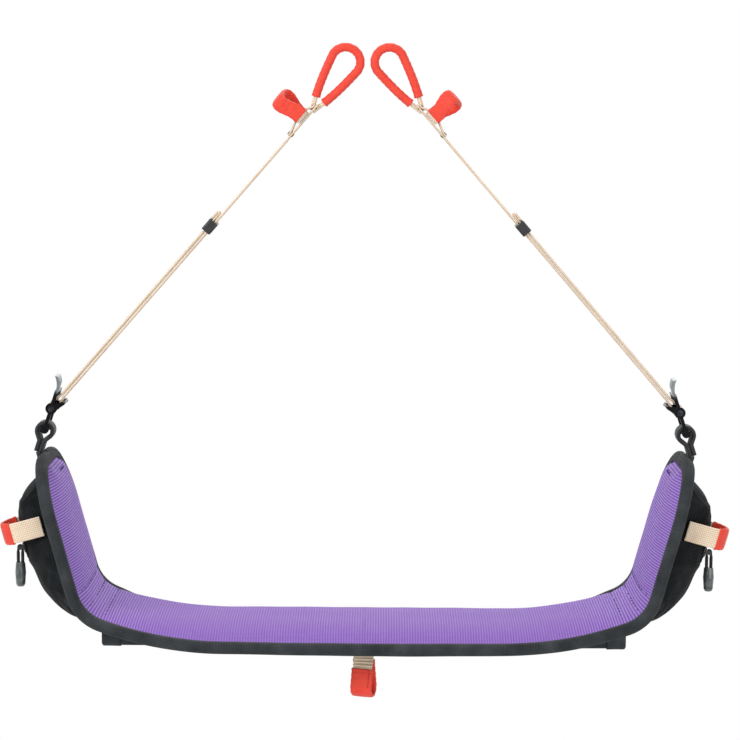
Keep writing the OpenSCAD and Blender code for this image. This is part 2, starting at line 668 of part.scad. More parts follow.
left() zip_slider();  // zip_slider_left
right() zip_slider();  // zip_slider_right
left() zip_cord();  // zip_cord_left
right() zip_cord();  // zip_cord_right
left() zip_tab();  // zip_tab_left
right() zip_tab();  // zip_tab_right
left() gear_loop();  // gear_loop_left
right() gear_loop();  // gear_loop_right
left() gear_loop_sleeve();  // gear_loop_sleeve_left
right() gear_loop_sleeve();  // gear_loop_sleeve_right
left() buckle_frame();  // buckle_frame_left
right() buckle_frame();  // buckle_frame_right
left() buckle_bar();  // buckle_bar_left
right() buckle_bar();  // buckle_bar_right
left() strap_wrap();  // strap_wrap_left
right() strap_wrap();  // strap_wrap_right
left() strap_tail();  // strap_tail_left
right() strap_tail();  // strap_tail_right
left() strap_keeper();  // strap_keeper_left
right() strap_keeper();  // strap_keeper_right
left() strap_run();  // strap_run_left
right() strap_run();  // strap_run_right
left() eye_sleeve();  // eye_sleeve_left
right() eye_sleeve();  // eye_sleeve_right
left() side_loop();  // side_loop_left
right() side_loop();  // side_loop_right
left() side_loop_sleeve();  // side_loop_sleeve_left
right() side_loop_sleeve();  // side_loop_sleeve_right
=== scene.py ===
from math import acos, asin, atan, atan2, ceil, cos, floor, hypot, pi, radians, sin, sqrt

import bmesh
import bpy
from mathutils import Matrix, Vector
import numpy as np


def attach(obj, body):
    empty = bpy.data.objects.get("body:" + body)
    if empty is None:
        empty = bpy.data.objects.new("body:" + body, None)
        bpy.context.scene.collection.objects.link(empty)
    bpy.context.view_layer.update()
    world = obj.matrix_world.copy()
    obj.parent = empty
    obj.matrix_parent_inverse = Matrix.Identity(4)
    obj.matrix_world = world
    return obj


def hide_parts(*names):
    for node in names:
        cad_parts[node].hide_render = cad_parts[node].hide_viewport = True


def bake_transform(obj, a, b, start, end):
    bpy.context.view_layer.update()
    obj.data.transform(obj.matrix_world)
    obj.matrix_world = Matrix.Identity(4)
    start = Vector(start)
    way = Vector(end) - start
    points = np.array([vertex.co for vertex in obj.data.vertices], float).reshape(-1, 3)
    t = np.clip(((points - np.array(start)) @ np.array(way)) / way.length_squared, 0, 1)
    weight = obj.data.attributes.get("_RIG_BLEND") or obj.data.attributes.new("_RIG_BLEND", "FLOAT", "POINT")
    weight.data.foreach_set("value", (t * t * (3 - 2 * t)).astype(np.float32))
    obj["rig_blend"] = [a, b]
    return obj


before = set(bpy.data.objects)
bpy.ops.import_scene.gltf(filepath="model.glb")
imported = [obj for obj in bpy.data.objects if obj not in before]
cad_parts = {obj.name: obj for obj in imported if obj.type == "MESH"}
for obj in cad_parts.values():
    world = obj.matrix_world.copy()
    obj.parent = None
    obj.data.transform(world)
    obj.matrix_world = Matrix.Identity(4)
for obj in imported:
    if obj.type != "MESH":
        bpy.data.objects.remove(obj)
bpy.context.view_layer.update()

# Sizes in millimetres, the same as the part's own sizes.
SEAT_FLAT, LIFT_RUN, SEAT_LIFT = 280, 112, 18
PAD_DEPTH, PAD_T, EDGE_T, EDGE_DROP = 160, 12, 7.5, 9
FRONT_BOW, FRONT_SAG = 6, 2
BOARD_DEPTH, BOARD_T, SLEEVE_WALL, SLEEVE_HEM = 96, 6, 1.2, 16
WING_LEN, WING_ANGLE, BEND_R = 133, radians(74.5), 30
TIP_W, TIP_ROUND, TIP_EASE, LIP = 44, 62, 40, 9
POCKET_BULGE, POCKET_W, POCKET_LOW = 33, 134, -28
ZIP_U, ZIP_Y, BAIL_X = 50, -14, 6
GEAR_U, GEAR_R, GEAR_Y = 72, 18, 25 - POCKET_W / 2
WEB_W, WEB_T = 20, 2.2
STRAP_LEN, KEEPER_T, SPLICE_LEN = 403, 240, 45
EYE_LEN, EYE_R, EYE_SLEEVE_T = 46, 14.5, 9.5
EYE_SPREAD, EYE_LEAN, EYE_GAP = radians(14), radians(7), 4.5
SIDE_LOOP_LEN, SIDE_LOOP_W = 33, 14
BAR_RISE, BAR_R, BUCKLE_LEAN = 22, 3, radians(72)
HANG_LEN, HANG_R, HANG_NECK, PIN_R = 24, 5.5, 11, 2.6
TOOL_LEN, TOOL_R = 48, 7
GAP = 0.3
MM = 0.001
SIDES = {"left": -1, "right": 1}

# How the cloth lies, in millimetres: these are in the scene alone.
RIB_PITCH, RIB_HIGH = 2.6, 0.55
PUFF = 2.2
BACK_ROLL, ROLL_LAG = 3.0, 0.2
CHANNEL_HALF, CHANNEL_DEEP = 4.5, 0.8
LOOP_TWIST = radians(18)
SIDE_CROWN = 3
COVER_W, COVER_T = 2.4, 2.3
DRAPE_MOST, FOOT_TUCK = 4.5, 0.75

# The pad's middle line: flat, a slow rise, the fold's bend, then the wing.
LIFT_ANG = 2 * atan(SEAT_LIFT / LIFT_RUN)
LIFT_R = (LIFT_RUN**2 + SEAT_LIFT**2) / (2 * SEAT_LIFT)
S_FLAT = SEAT_FLAT / 2
S_FOLD = S_FLAT + LIFT_R * LIFT_ANG
S_WING = S_FOLD + BEND_R * (WING_ANGLE - LIFT_ANG)
S_TIP = S_WING + WING_LEN
S_ROUND = S_TIP - TIP_ROUND
HALF = PAD_DEPTH / 2
TIP_H = TIP_W / 2
SLEEVE_H = BOARD_DEPTH / 2 + SLEEVE_WALL + 0.8
SLEEVE_TOP = -PAD_T - 0.2
SLEEVE_T = BOARD_T + 2 * SLEEVE_WALL + GAP
SLEEVE_END = S_FLAT + LIFT_RUN + 4
WEB_MID = WEB_T / 2
WEB_X = EDGE_DROP + EDGE_T + GAP


def arc_end(r, a0, a1):
    """How far an arc of radius r goes along and up between two slopes."""
    return r * (sin(a1) - sin(a0)), r * (cos(a0) - cos(a1))


FOLD_P = (S_FLAT + arc_end(LIFT_R, 0, LIFT_ANG)[0], arc_end(LIFT_R, 0, LIFT_ANG)[1])
BEND = arc_end(BEND_R, LIFT_ANG, WING_ANGLE)
WING_P = (FOLD_P[0] + BEND[0], FOLD_P[1] + BEND[1])


def pad_line(s):
    """Place and slope of the pad's middle line, s along it from the middle of the seat."""
    if s <= S_FLAT:
        return s, 0, 0
    if s <= S_FOLD:
        a = (s - S_FLAT) / LIFT_R
        x, z = arc_end(LIFT_R, 0, a)
        return S_FLAT + x, z, a
    if s <= S_WING:
        a = LIFT_ANG + (s - S_FOLD) / BEND_R
        x, z = arc_end(BEND_R, LIFT_ANG, a)
        return FOLD_P[0] + x, FOLD_P[1] + z, a
    d = s - S_WING
    return WING_P[0] + d * cos(WING_ANGLE), WING_P[1] + d * sin(WING_ANGLE), WING_ANGLE


def pad_up(s):
    """The way out of the pad's face at s."""
    a = pad_line(s)[2]
    return Vector((-sin(a), 0, cos(a)))


def pad_at(s, y, h):
    """A point by the pad: s along its middle line, y back, h above its face."""
    x, z, a = pad_line(s)
    return Vector((x - h * sin(a), y, z + h * cos(a)))


def wing_at(x, y, u):
    """A point by the wing: x out from it, y back, u up its slope."""
    return Vector((WING_P[0] + x * sin(WING_ANGLE) + u * cos(WING_ANGLE), y,
                   WING_P[1] - x * cos(WING_ANGLE) + u * sin(WING_ANGLE)))


THROAT_U = WING_LEN + 5
HANG_ROOT = (WEB_X + WEB_MID, THROAT_U)
THROAT = wing_at(HANG_ROOT[0], 0, THROAT_U)
BUCKLE_DIR = Vector((-cos(BUCKLE_LEAN), 0, sin(BUCKLE_LEAN)))
PIN = THROAT + HANG_LEN * BUCKLE_DIR
BAR = PIN + BAR_RISE * BUCKLE_DIR
EYE_X = EYE_GAP / 2 + EYE_R + EYE_SLEEVE_T / 2
REACH = (STRAP_LEN + EYE_LEN * cos(EYE_LEAN), EYE_LEN * sin(EYE_LEAN))
STRAP_ANG = acos((BAR.x - EYE_X) / hypot(*REACH)) - atan2(REACH[1], REACH[0])
EYE_Z = BAR.z + STRAP_LEN * sin(STRAP_ANG) + EYE_LEN * sin(STRAP_ANG + EYE_LEAN)


def strap_at(q, y, t):
    """A point by the strap: q out from it, y back, t along it from the bar to the eye."""
    return Vector((BAR.x - t * cos(STRAP_ANG) + q * sin(STRAP_ANG), y,
                   BAR.z + t * sin(STRAP_ANG) + q * cos(STRAP_ANG)))


def row(p, g=1):
    """A point of the seat's own frame, in millimetres, as a point of the part's frame, in metres."""
    return Vector((g * p[0], p[1], p[2] - EYE_Z)) * MM


def clamp(x, low=0.0, high=1.0):
    return min(high, max(low, x))


def ease(x):
    """0 to 1 with a soft start and end."""
    x = clamp(x)
    return x * x * (3 - 2 * x)


def wobble(a, b, seed=0.0):
    """A slow smooth unevenness between -1 and 1, the same on every run."""
    first = sin(a * 1.7 + seed)
    second = sin(a * 0.63 + b * 1.1 + seed * 2.3)
    third = sin(b * 1.9 - a * 0.31 + seed * 0.7)
    return (first + second + third) / 3


# Materials

def rgb(code):
    """An sRGB hex colour as the linear colour that Blender uses."""
    parts = [int(code[i:i + 2], 16) / 255 for i in (1, 3, 5)]
    return [p / 12.92 if p <= 0.04045 else ((p + 0.055) / 1.055) ** 2.4 for p in parts] + [1.0]


def add(tree, kind, links=None, values=None, stops=None, out=0, **settings):
    """Adds one node with its settings, fixed values, links and colour stops, and gives one output."""
    n = tree.nodes.new("ShaderNode" + kind)
    for key, value in settings.items():
        setattr(n, key, value)
    for key, value in (values or {}).items():
        n.inputs[key].default_value = value
    for key, socket in (links or {}).items():
        tree.links.new(socket, n.inputs[key])
    if stops:
        band = n.color_ramp.elements
        while len(band) < len(stops):
            band.new(0.5)
        for e, (place, code) in zip(band, stops):
            e.position = place
            e.color = rgb(code)
    return n.outputs[out]


def start(name, roughness, metallic=0.0, **fixed):
    """A new material with its surface shader; fixed values go straight on the shader's sockets."""
    m = bpy.data.materials.new(name)
    m.use_nodes = True
    shader = m.node_tree.nodes["Principled BSDF"]
    shader.inputs["Roughness"].default_value = roughness
    shader.inputs["Metallic"].default_value = metallic
    for key, value in fixed.items():
        shader.inputs[key.replace("_", " ")].default_value = value
    return m, m.node_tree, shader


def faced(m, shade, stops, height, depth_mm, strength):
    """Colours a material by its shade, from (place, hex colour) stops, and raises its fine relief."""
    tree = m.node_tree
    shader = tree.nodes["Principled BSDF"]
    colour = add(tree, "ValToRGB", {"Fac": shade}, stops=stops)
    relief = add(tree, "Bump", {"Height": height}, {"Distance": depth_mm * MM, "Strength": strength})
    tree.links.new(colour, shader.inputs["Base Color"])
    tree.links.new(relief, shader.inputs["Normal"])
    return m


def waves(tree, source, pitch_mm):
    """A thread row: 0 to 1 and back once every pitch along a length in metres."""
    turn = add(tree, "Math", {0: source}, {1: 2 * pi / (pitch_mm * MM)}, operation="MULTIPLY")
    wave = add(tree, "Math", {0: turn}, operation="SINE")
    return add(tree, "MapRange", {"Value": wave}, {"From Min": -1, "From Max": 1})


def weave(tree, pitch_mm, ratio=1.0, slanted=False):
    """Two sets of threads that cross, along and across the cloth or at a slant to it."""
    first = add(tree, "Attribute", out="Fac", attribute_name="along")
    second = add(tree, "Attribute", out="Fac", attribute_name="across")
    if slanted:
        both = {0: first, 1: second}
        first = add(tree, "Math", both, operation="ADD")
        second = add(tree, "Math", both, operation="SUBTRACT")
    warp = waves(tree, first, pitch_mm)
    weft = waves(tree, second, pitch_mm * ratio)
    return add(tree, "Math", {0: warp, 1: weft}, operation="MULTIPLY")


def cloudy(tree, size_mm, detail=2.0):
    """Soft patches of about this size, from the piece's own place."""
    where = add(tree, "TexCoord", out="Object")
    values = {"Scale": 1 / (size_mm * MM), "Detail": detail}
    return add(tree, "TexNoise", {"Vector": where}, values, out="Fac")


def spacer_mesh():
    """Knitted polyester spacer mesh in violet: soft round ribs, paler along each crest as a painted highlight
    and deeper violet between them as painted shade.
    """
    m, tree, _ = start("polyester_spacer_mesh", 0.82, Sheen_Weight=0.1, Sheen_Roughness=0.5,
                       Specular_IOR_Level=0.3)
    # the rib value paints a highlight on each rib's crest and shade in each valley between ribs
    rib = add(tree, "Attribute", out="Fac", attribute_name="rib")
    knit = waves(tree, add(tree, "Attribute", out="Fac", attribute_name="across"), 1.9)
    mixed = add(tree, "Math", {0: knit, 1: cloudy(tree, 7)}, operation="ADD")
    shade = add(tree, "Math", {0: mixed, 2: rib}, {1: 0.13}, operation="MULTIPLY_ADD")
    stops = [(0.0, "#50367F"), (0.28, "#6E4BA1"), (0.58, "#7F58AC"), (0.85, "#8F6FB8"), (1.0, "#A185C9")]
    return faced(m, shade, stops, knit, 0.25, 0.5)


def pack_cloth(name, dark, mid, pale, pitch_mm):
    """Plain woven nylon pack cloth, dyed black: fine crossed threads with a faint grey sheen."""
    m, tree, _ = start(name, 0.82, Sheen_Weight=0.06, Sheen_Roughness=0.4, Specular_IOR_Level=0.12)
    threads = weave(tree, pitch_mm)
    shade = add(tree, "Math", {0: threads, 2: cloudy(tree, 22, 4.0)}, {1: 0.35}, operation="MULTIPLY_ADD")
    return faced(m, shade, [(0.3, dark), (0.6, mid), (0.95, pale)], threads, 0.4, 0.8)


def webbing(name, dark, mid, pale, row_mm, sheen):
    """Flat woven nylon webbing: ribs across its width, each crossed by fine lengthwise threads."""
    m, tree, _ = start(name, 0.7, Sheen_Weight=sheen, Sheen_Roughness=0.4, Specular_IOR_Level=0.35)
    threads = weave(tree, row_mm, 1.15)
    shade = add(tree, "Math", {0: cloudy(tree, 14, 3.0), 2: threads}, {1: 0.5}, operation="MULTIPLY_ADD")
    return faced(m, shade, [(0.15, dark), (0.5, mid), (1.0, pale)], threads, 0.3, 0.3)


def tube_cloth():
    """Tubular woven polyester sleeve, dyed red: close herringbone weave with a soft satin face."""
    m, tree, _ = start("woven_red_sleeve", 0.62, Sheen_Weight=0.3, Sheen_Roughness=0.35,
                       Specular_IOR_Level=0.4)
    threads = weave(tree, 1.5, slanted=True)
    shade = add(tree, "Math", {0: cloudy(tree, 9, 3.0), 2: threads}, {1: 0.55}, operation="MULTIPLY_ADD")
    return faced(m, shade, [(0.15, "#CB2F1E"), (0.5, "#DF3C29"), (1.0, "#EA4E39")], threads, 0.25, 0.25)


def thread(name, dark, pale):
    """Bonded sewing thread: twisted, slightly waxy."""
    m, tree, shader = start(name, 0.5, Specular_IOR_Level=0.4)
    colour = add(tree, "ValToRGB", {"Fac": cloudy(tree, 1.2)}, stops=[(0.3, dark), (0.8, pale)])
    tree.links.new(colour, shader.inputs["Base Color"])
    return m


def plated_steel(side, g):
    """Forged steel, plated black: the thumb tab at the top is rubbed to bright metal."""
    m, tree, shader = start("plated_steel_" + side, 0.32, 1.0)
    where = add(tree, "TexCoord", out="Object")
    up = Vector((g * BUCKLE_DIR.x, 0, BUCKLE_DIR.z))
    from_pin = add(tree, "VectorMath", {0: where}, {1: row(PIN, g)}, operation="SUBTRACT")
    height = add(tree, "VectorMath", {0: from_pin}, {1: up}, out="Value", operation="DOT_PRODUCT")
    rubbed = add(tree, "Math", {0: cloudy(tree, 4, 4.0), 2: height}, {1: 0.004}, operation="MULTIPLY_ADD")
    bare = add(tree, "MapRange", {"Value": rubbed}, {"From Min": 0.0385, "From Max": 0.0425})
    scuffs = cloudy(tree, 1.5, 5.0)
    rough = add(tree, "MapRange", {"Value": scuffs}, {"To Min": 0.3, "To Max": 0.5})
    tree.links.new(rough, shader.inputs["Roughness"])
    return faced(m, bare, [(0.0, "#1A1B1D"), (0.6, "#3F4245"), (1.0, "#7B8184")], scuffs, 0.05, 0.3)


def dark_steel():
    """Plain round bar, oiled black steel, worn a little grey."""
    m, tree, _ = start("oiled_steel_bar", 0.38, 1.0)
    stops = [(0.35, "#1C1D20"), (0.75, "#4A4C50")]
    return faced(m, cloudy(tree, 3, 4.0), stops, cloudy(tree, 0.8, 3.0), 0.04, 0.3)


def moulded(name, dark, pale, roughness, grit_mm):
    """Injection moulded plastic with a fine spark-eroded grain."""
    m, tree, _ = start(name, roughness, Specular_IOR_Level=0.5)
    return faced(m, cloudy(tree, 5, 3.0), [(0.3, dark), (0.8, pale)], cloudy(tree, grit_mm), 0.06, 0.35)


def clear_rubber():
    """Smoke-grey moulded rubber with a glossy skin, paler in soft random patches."""
    m, tree, _ = start("smoked_rubber", 0.28, Coat_Weight=0.5, Coat_Roughness=0.12)
    return faced(m, cloudy(tree, 6), [(0.3, "#2E3334"), (0.75, "#626969")], cloudy(tree, 1.6), 0.05, 0.25)


def plywood():
    """Sealed birch plywood board, hidden in its sleeve: pale long grain."""
    m, tree, _ = start("sealed_plywood", 0.55)
    where = add(tree, "TexCoord", out="Object")
    drawn_out = add(tree, "Mapping", {"Vector": where}, {"Scale": (12, 180, 180)})
    grain = add(tree, "TexNoise", {"Vector": drawn_out}, {"Scale": 3, "Detail": 6}, out="Fac")
    return faced(m, grain, [(0.3, "#A9825A"), (0.7, "#D2B083")], grain, 0.1, 0.3)


MESH = spacer_mesh()
BINDING = pack_cloth("nylon_edge_tape", "#222527", "#313436", "#44484A", 1.5)
CLOTH = pack_cloth("nylon_pack_cloth", "#070808", "#101214", "#2A2E32", 1.3)
SLEEVE = pack_cloth("nylon_board_sleeve", "#2A2D2F", "#3A3E40", "#4E5355", 1.5)
BLACK_WEB = webbing("black_nylon_webbing", "#101113", "#1D1F21", "#313436", 1.9, 0.15)
TAN_WEB = webbing("natural_nylon_webbing", "#C6AB8D", "#DCC7AD", "#EDE0CF", 1.7, 0.1)
CORD = webbing("black_braided_cord", "#0E0F10", "#1B1C1E", "#303335", 1.4, 0.15)
RED = tube_cloth()
DARK_THREAD = thread("dark_violet_thread", "#2B1A55", "#432C7A")
RED_THREAD = thread("dark_red_thread", "#6E140C", "#93231A")
TACK_THREAD = thread("dark_brown_thread", "#2A221C", "#544538")
KEEPER = moulded("black_acetal", "#131315", "#232427", 0.42, 0.5)
ZIP = moulded("black_nylon_zip", "#17181A", "#2A2C2F", 0.45, 0.6)
PULL = clear_rubber()
BAR_STEEL = dark_steel()
PLYWOOD = plywood()


# Shaping

def skin(nu, nv, at, closed=False, ends=True, extra=None):
    """A grid laid over a surface. at(u, v), each 0 to 1, gives a point and its place along and across."""
    bm = bmesh.new()
    bmesh.ops.create_grid(bm, x_segments=nu, y_segments=nv, size=1.0)
    names = ["along", "across"] + ([extra] if extra else [])
    layers = [bm.verts.layers.float.new(n) for n in names]
    for v in bm.verts:
        point, *places = at((v.co.x + 1) / 2, (v.co.y + 1) / 2)
        v.co = point
        for layer, place in zip(layers, places):
            v[layer] = place
    if closed:
        bmesh.ops.remove_doubles(bm, verts=bm.verts, dist=1e-4)
        if ends:
            bmesh.ops.holes_fill(bm, edges=[e for e in bm.edges if e.is_boundary], sides=0)
        bmesh.ops.recalc_face_normals(bm, faces=bm.faces)
    return bm


def placed(name, bm):
    """A shape as an object of the scene."""
    mesh = bpy.data.meshes.new(name)
    bm.to_mesh(mesh)
    bm.free()
    obj = bpy.data.objects.new(name, mesh)
    bpy.context.scene.collection.objects.link(obj)
    return obj


def made(name, bm, g, material):
    """Turns a shape in the seat's frame into a finished piece of the part's frame."""
    bmesh.ops.scale(bm, vec=(g, 1, 1), verts=bm.verts)
    if g < 0:
        bmesh.ops.reverse_faces(bm, faces=bm.faces)
    bmesh.ops.translate(bm, vec=(0, 0, -EYE_Z), verts=bm.verts)
    bmesh.ops.scale(bm, vec=(MM, MM, MM), verts=bm.verts)
    for f in bm.faces:
        f.smooth = len(f.verts) <= 4
    obj = placed(name, bm)
    obj.data.materials.append(material)
    return obj


def piece(name, bm, g, material, slot, body, *nodes):
    """A finished piece that rides on one body, in place of the CAD nodes it stands for."""
    obj = made(name, bm, g, material)
    if nodes:
        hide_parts(*nodes)
    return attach(obj, body)


def modify(obj, kind, **settings):
    """Adds one modifier with its settings."""
    m = obj.modifiers.new(kind.lower(), kind)
    for key, value in settings.items():
        setattr(m, key, value)
    return m


def settled(name, bm, held, frames, gravity, **settings):
    """Lets a shape settle as cloth, sewn down at some of its points, and gives where its points end up."""
    scene = bpy.context.scene
    obj = placed(name, bm)
    obj.vertex_groups.new(name="sewn").add(held, 1.0, "REPLACE")
    cloth = modify(obj, "CLOTH").settings
    cloth.vertex_group_mass = "sewn"
    cloth.effector_weights.gravity = gravity
    for key, value in settings.items():
        setattr(cloth, key, value)
    for f in range(1, frames + 1):
        scene.frame_set(f)
    done = obj.evaluated_get(bpy.context.evaluated_depsgraph_get())
    points = [v.co.copy() for v in done.data.vertices]
    scene.frame_set(1)
    bpy.data.objects.remove(obj)
    return points


def squared(angle, power):
    """A point of a rounded square of half size 1, by its angle."""
    c, s = round(cos(angle), 9), round(sin(angle), 9)
    e = 2 / power
    return (abs(c) ** e * (1 if c >= 0 else -1), abs(s) ** e * (1 if s >= 0 else -1))


def along_path(points):
    """Length along a list of points, each (first, second)."""
    total = [0.0]
    for a, b in zip(points, points[1:]):
        total.append(total[-1] + hypot(b[0] - a[0], b[1] - a[1]))
    return total


def ribbon(points, put, width, thick, rows=18, power=5, swell=None):
    """Webbing or tube of a given width along a flat path. put(a, b, c) places a path point, c across it."""
    lengths = along_path(points)
    n = len(points) - 1

    def at(u, v):
        i = round(u * n)
        a = points[max(0, i - 1)]
        b = points[min(n, i + 1)]
        d = hypot(b[0] - a[0], b[1] - a[1])
        out = ((b[1] - a[1]) / d, -(b[0] - a[0]) / d)
        c, s = squared(2 * pi * v, power)
        grow = swell(lengths[i], lengths[-1], 2 * pi * v) if swell else 0.0
        across = c * (width / 2 + grow)
        lift = s * (thick / 2 + grow)
        p = points[i]
        point = put(p[0] + out[0] * lift, p[1] + out[1] * lift, across)
        return point, lengths[i] * MM, (across + lift) * MM

    return skin(n, rows, at, closed=True)


def fine(points, step):
    """The same path with a point at least every step."""
    out = [points[0]]
    for a, b in zip(points, points[1:]):
        k = max(1, ceil(hypot(b[0] - a[0], b[1] - a[1]) / step))
        out += [(a[0] + (b[0] - a[0]) * i / k, a[1] + (b[1] - a[1]) * i / k) for i in range(1, k + 1)]
    return out


ARC_STEPS, LEG_STEPS = 36, 12


def drop_path(centre, direction, spread, r, leg, step=1.2, bow=0.0):
    """Up one leg, round an end and back: the legs close at half angle spread and bow outwards."""
    base = atan2(direction[1], direction[0])
    k = pi / 2 - spread
    angles = [base + k + i * (2 * pi - 2 * k) / ARC_STEPS for i in range(ARC_STEPS + 1)]
    arc = [(centre[0] + r * cos(a), centre[1] + r * sin(a)) for a in angles]
    legs = []
    for foot, turn in ((arc[0], -1), (arc[-1], 1)):
        a = base + turn * spread
        points = []
        for i in range(1, LEG_STEPS + 1):
            f = i / LEG_STEPS
            out = turn * bow * sin(pi * f)
            points.append((foot[0] + f * leg * cos(a) + out * sin(a),
                           foot[1] + f * leg * sin(a) - out * cos(a)))
        legs.append(points)
    return fine(legs[0][::-1] + arc + legs[1], step)


def rounded_turns(points, r, count=7):
    """A path with its inner corners rounded."""
    out = [points[0]]
    for a, b, c in zip(points, points[1:], points[2:]):
        before = [b[k] + (a[k] - b[k]) * r / hypot(a[0] - b[0], a[1] - b[1]) for k in (0, 1)]
        after = [b[k] + (c[k] - b[k]) * r / hypot(c[0] - b[0], c[1] - b[1]) for k in (0, 1)]
        for f in (i / (count - 1) for i in range(count)):
            shares = ((1 - f) ** 2, 2 * f * (1 - f), f * f)
            out.append(tuple(shares[0] * before[k] + shares[1] * b[k] + shares[2] * after[k] for k in (0, 1)))
    return out + [points[-1]]


def stitch(a, b, up, wide, high):
    """One sewn stitch from a to b: a small rounded bar that dips at both ends."""
    bm = bmesh.new()
    bmesh.ops.create_cube(bm, size=1.0)
    bmesh.ops.bevel(bm, geom=bm.edges[:], offset=0.28, segments=1, profile=0.5, affect="EDGES", material=-1)
    run = b - a
    side = up.cross(run).normalized()
    for v in bm.verts:
        dip = high * 0.5 * (1 - 4 * v.co.x**2)
        v.co = (a + b) / 2 + run * v.co.x + side * (wide * v.co.y) + up * (high * v.co.z + dip)
    return bm


def gather(shapes):
    """Several shapes as one."""
    whole = bmesh.new()
    for bm in shapes:
        held = bpy.data.meshes.new("held")
        bm.to_mesh(held)
        bm.free()
        whole.from_mesh(held)
        bpy.data.meshes.remove(held)
    return whole


def puckered(length, total, angle):
    """A woven tube's unevenness: a rolled hem at each end and soft wrinkles on the way."""
    end = min(length, total - length)
    hem = 0.35 * ease(1 - abs(end - 1.2) / 1.2)
    return hem + 0.14 * sin(length * 1.1 + 2 * sin(angle)) * ease(end / 6) - 0.25


def ribbed(length, total, angle):
    """Coarse ribs across a heavy webbing."""
    return 0.45 * sin(2 * pi * length / 3.2)


def cover(path, put, width):
    """A woven red tube drawn over webbing of this width."""
    return ribbon(path, put, width + COVER_W, WEB_T + COVER_T, rows=26, power=4, swell=puckered)


def twisted(a, c, share, way=1):
    """Turns a loop's cross place a little about its own middle, as webbing twists."""
    turn = way * LOOP_TWIST * ease(share)
    return a * cos(turn) - c * sin(turn), c * cos(turn) + a * sin(turn)


# Pad: one closed form on each side of the middle, mesh on top and cloth below

CHANNELS = [S_FOLD, (S_FOLD + S_WING) / 2, S_WING]
FLAT_FRONT, FLAT_BACK = SLEEVE_H + 1, SLEEVE_H - 10
SWELL_ROWS, SWELL_COLS, SWELL_FRAMES = 168, 30, 20
SWELL_HELD, SWELL_PRESSURE = 0.88, 4
TOP_COLS, LOW_COLS, RIB_STEPS = 42, 15, 5
RIB_SEAT, RIB_MORE, RIB_START, RIB_FADE = 0.5, 0.4, 40, 80
FOLD_EARLY, FOLD_LATE, FOLD_DEEP = 8, 2, 10
STITCH_SPAN, STITCH_STEP, STITCH_LONG, STITCH_W, STITCH_HIGH, STITCH_SUNK = 60, 10, 4.0, 1.4, 0.6, -0.45
TACK_DOWN, TACK_SPAN, TACK_STEP = 20, 9, 6


def half_at(s):
    """Half the pad's depth, which narrows at the wing's top."""
    if s <= S_ROUND:
        return HALF
    return TIP_H + (HALF - TIP_H) * sqrt(max(0, 1 - ((s - S_ROUND) / TIP_ROUND) ** 2))


def inner_half(s):
    """The line that the edge tape covers up to."""
    if s <= S_ROUND:
        return HALF - LIP
    return TIP_H - LIP + (HALF - TIP_H) * sqrt(max(0, 1 - ((s - S_ROUND) / (TIP_ROUND - LIP)) ** 2))


def middle(s):
    """1 in the middle of the seat, falling to 0 at the fold."""
    return max(0, 1 - (s / S_FOLD) ** 2)


def soft_front(y):
    """0 over the board, rising to 1 at the front tape."""
    return clamp((-y - FLAT_FRONT) / (HALF - LIP - FLAT_FRONT)) ** 2


def soft_back(y):
    """0 over the board, rising to 1 at the back tape."""
    return clamp((y - FLAT_BACK) / (HALF - LIP - FLAT_BACK)) ** 2


def rolled(s):
    """1 along the seat's back edge, fading out at the fold."""
    return ease((S_FOLD + 4 - s) / 30)


def near_tip(s):
    return clamp((s - S_TIP + TIP_EASE) / (TIP_EASE - LIP))


def rise_in(s, y):
    """0 inside the pad, rising to 1 where the tape starts."""
    return max(min(1, abs(y) / inner_half(s)) ** 4, near_tip(s) ** 4)


def channel(s):
    """1 at a sewn row, falling to 0 beside it."""
    return max(ease(1 - abs(s - c) / CHANNEL_HALF) for c in CHANNELS)


def top_h(s, y):
    """Height of the pad's upper face before it swells."""
    edge = rise_in(s, y)
    sag = FRONT_SAG * middle(s) * soft_front(y) + BACK_ROLL * rolled(s) * soft_back(y)
    return -EDGE_DROP * edge - CHANNEL_DEEP * channel(s) * (1 - edge) - sag


def low_h(s, y):
    """Height of the pad's underside, which rolls a little later than its top."""
    b = inner_half(s)
    a = FLAT_FRONT / (HALF - LIP) * b
    out = max(clamp((abs(y) - a) / (b - a)), near_tip(s))
    late = max(0, soft_back(y) - ROLL_LAG) / (1 - ROLL_LAG)
    sag = FRONT_SAG * middle(s) * soft_front(y) + BACK_ROLL * rolled(s) * late
    return -PAD_T - (EDGE_DROP + EDGE_T - PAD_T) * out - sag


def swollen():
    """How far the mesh swells between its seams: a flat sheet held at its seams, blown up as cloth."""
    bm = bmesh.new()
    bmesh.ops.create_grid(bm, x_segments=SWELL_ROWS, y_segments=SWELL_COLS, size=1.0)
    order = {}
    held = []
    for v in bm.verts:
        i = round((v.co.x + 1) / 2 * SWELL_ROWS)
        j = round((v.co.y + 1) / 2 * SWELL_COLS)
        s = (2 * i / SWELL_ROWS - 1) * S_TIP
        k = 2 * j / SWELL_COLS - 1
        order[i, j] = v.index
        v.co = Vector((s, k * half_at(abs(s)), 0)) * MM
        if abs(k) > SWELL_HELD or abs(s) > S_TIP - LIP or channel(abs(s)) > 0.5:
            held.append(v.index)
    ends = settled("swell", bm, held, SWELL_FRAMES, 0, use_pressure=True,
                   uniform_pressure_force=SWELL_PRESSURE)
    high = {key: clamp(ends[n].z / MM, 0, PUFF) for key, n in order.items()}

    def at(s, k):
        a = clamp((s / S_TIP + 1) / 2) * SWELL_ROWS
        b = clamp((k + 1) / 2) * SWELL_COLS
        i = min(SWELL_ROWS - 1, floor(a))
        j = min(SWELL_COLS - 1, floor(b))
        x, y = a - i, b - j
        return ((high[i, j] * (1 - x) + high[i + 1, j] * x) * (1 - y)
                + (high[i, j + 1] * (1 - x) + high[i + 1, j + 1] * x) * y)

    return at


swell_at = swollen()


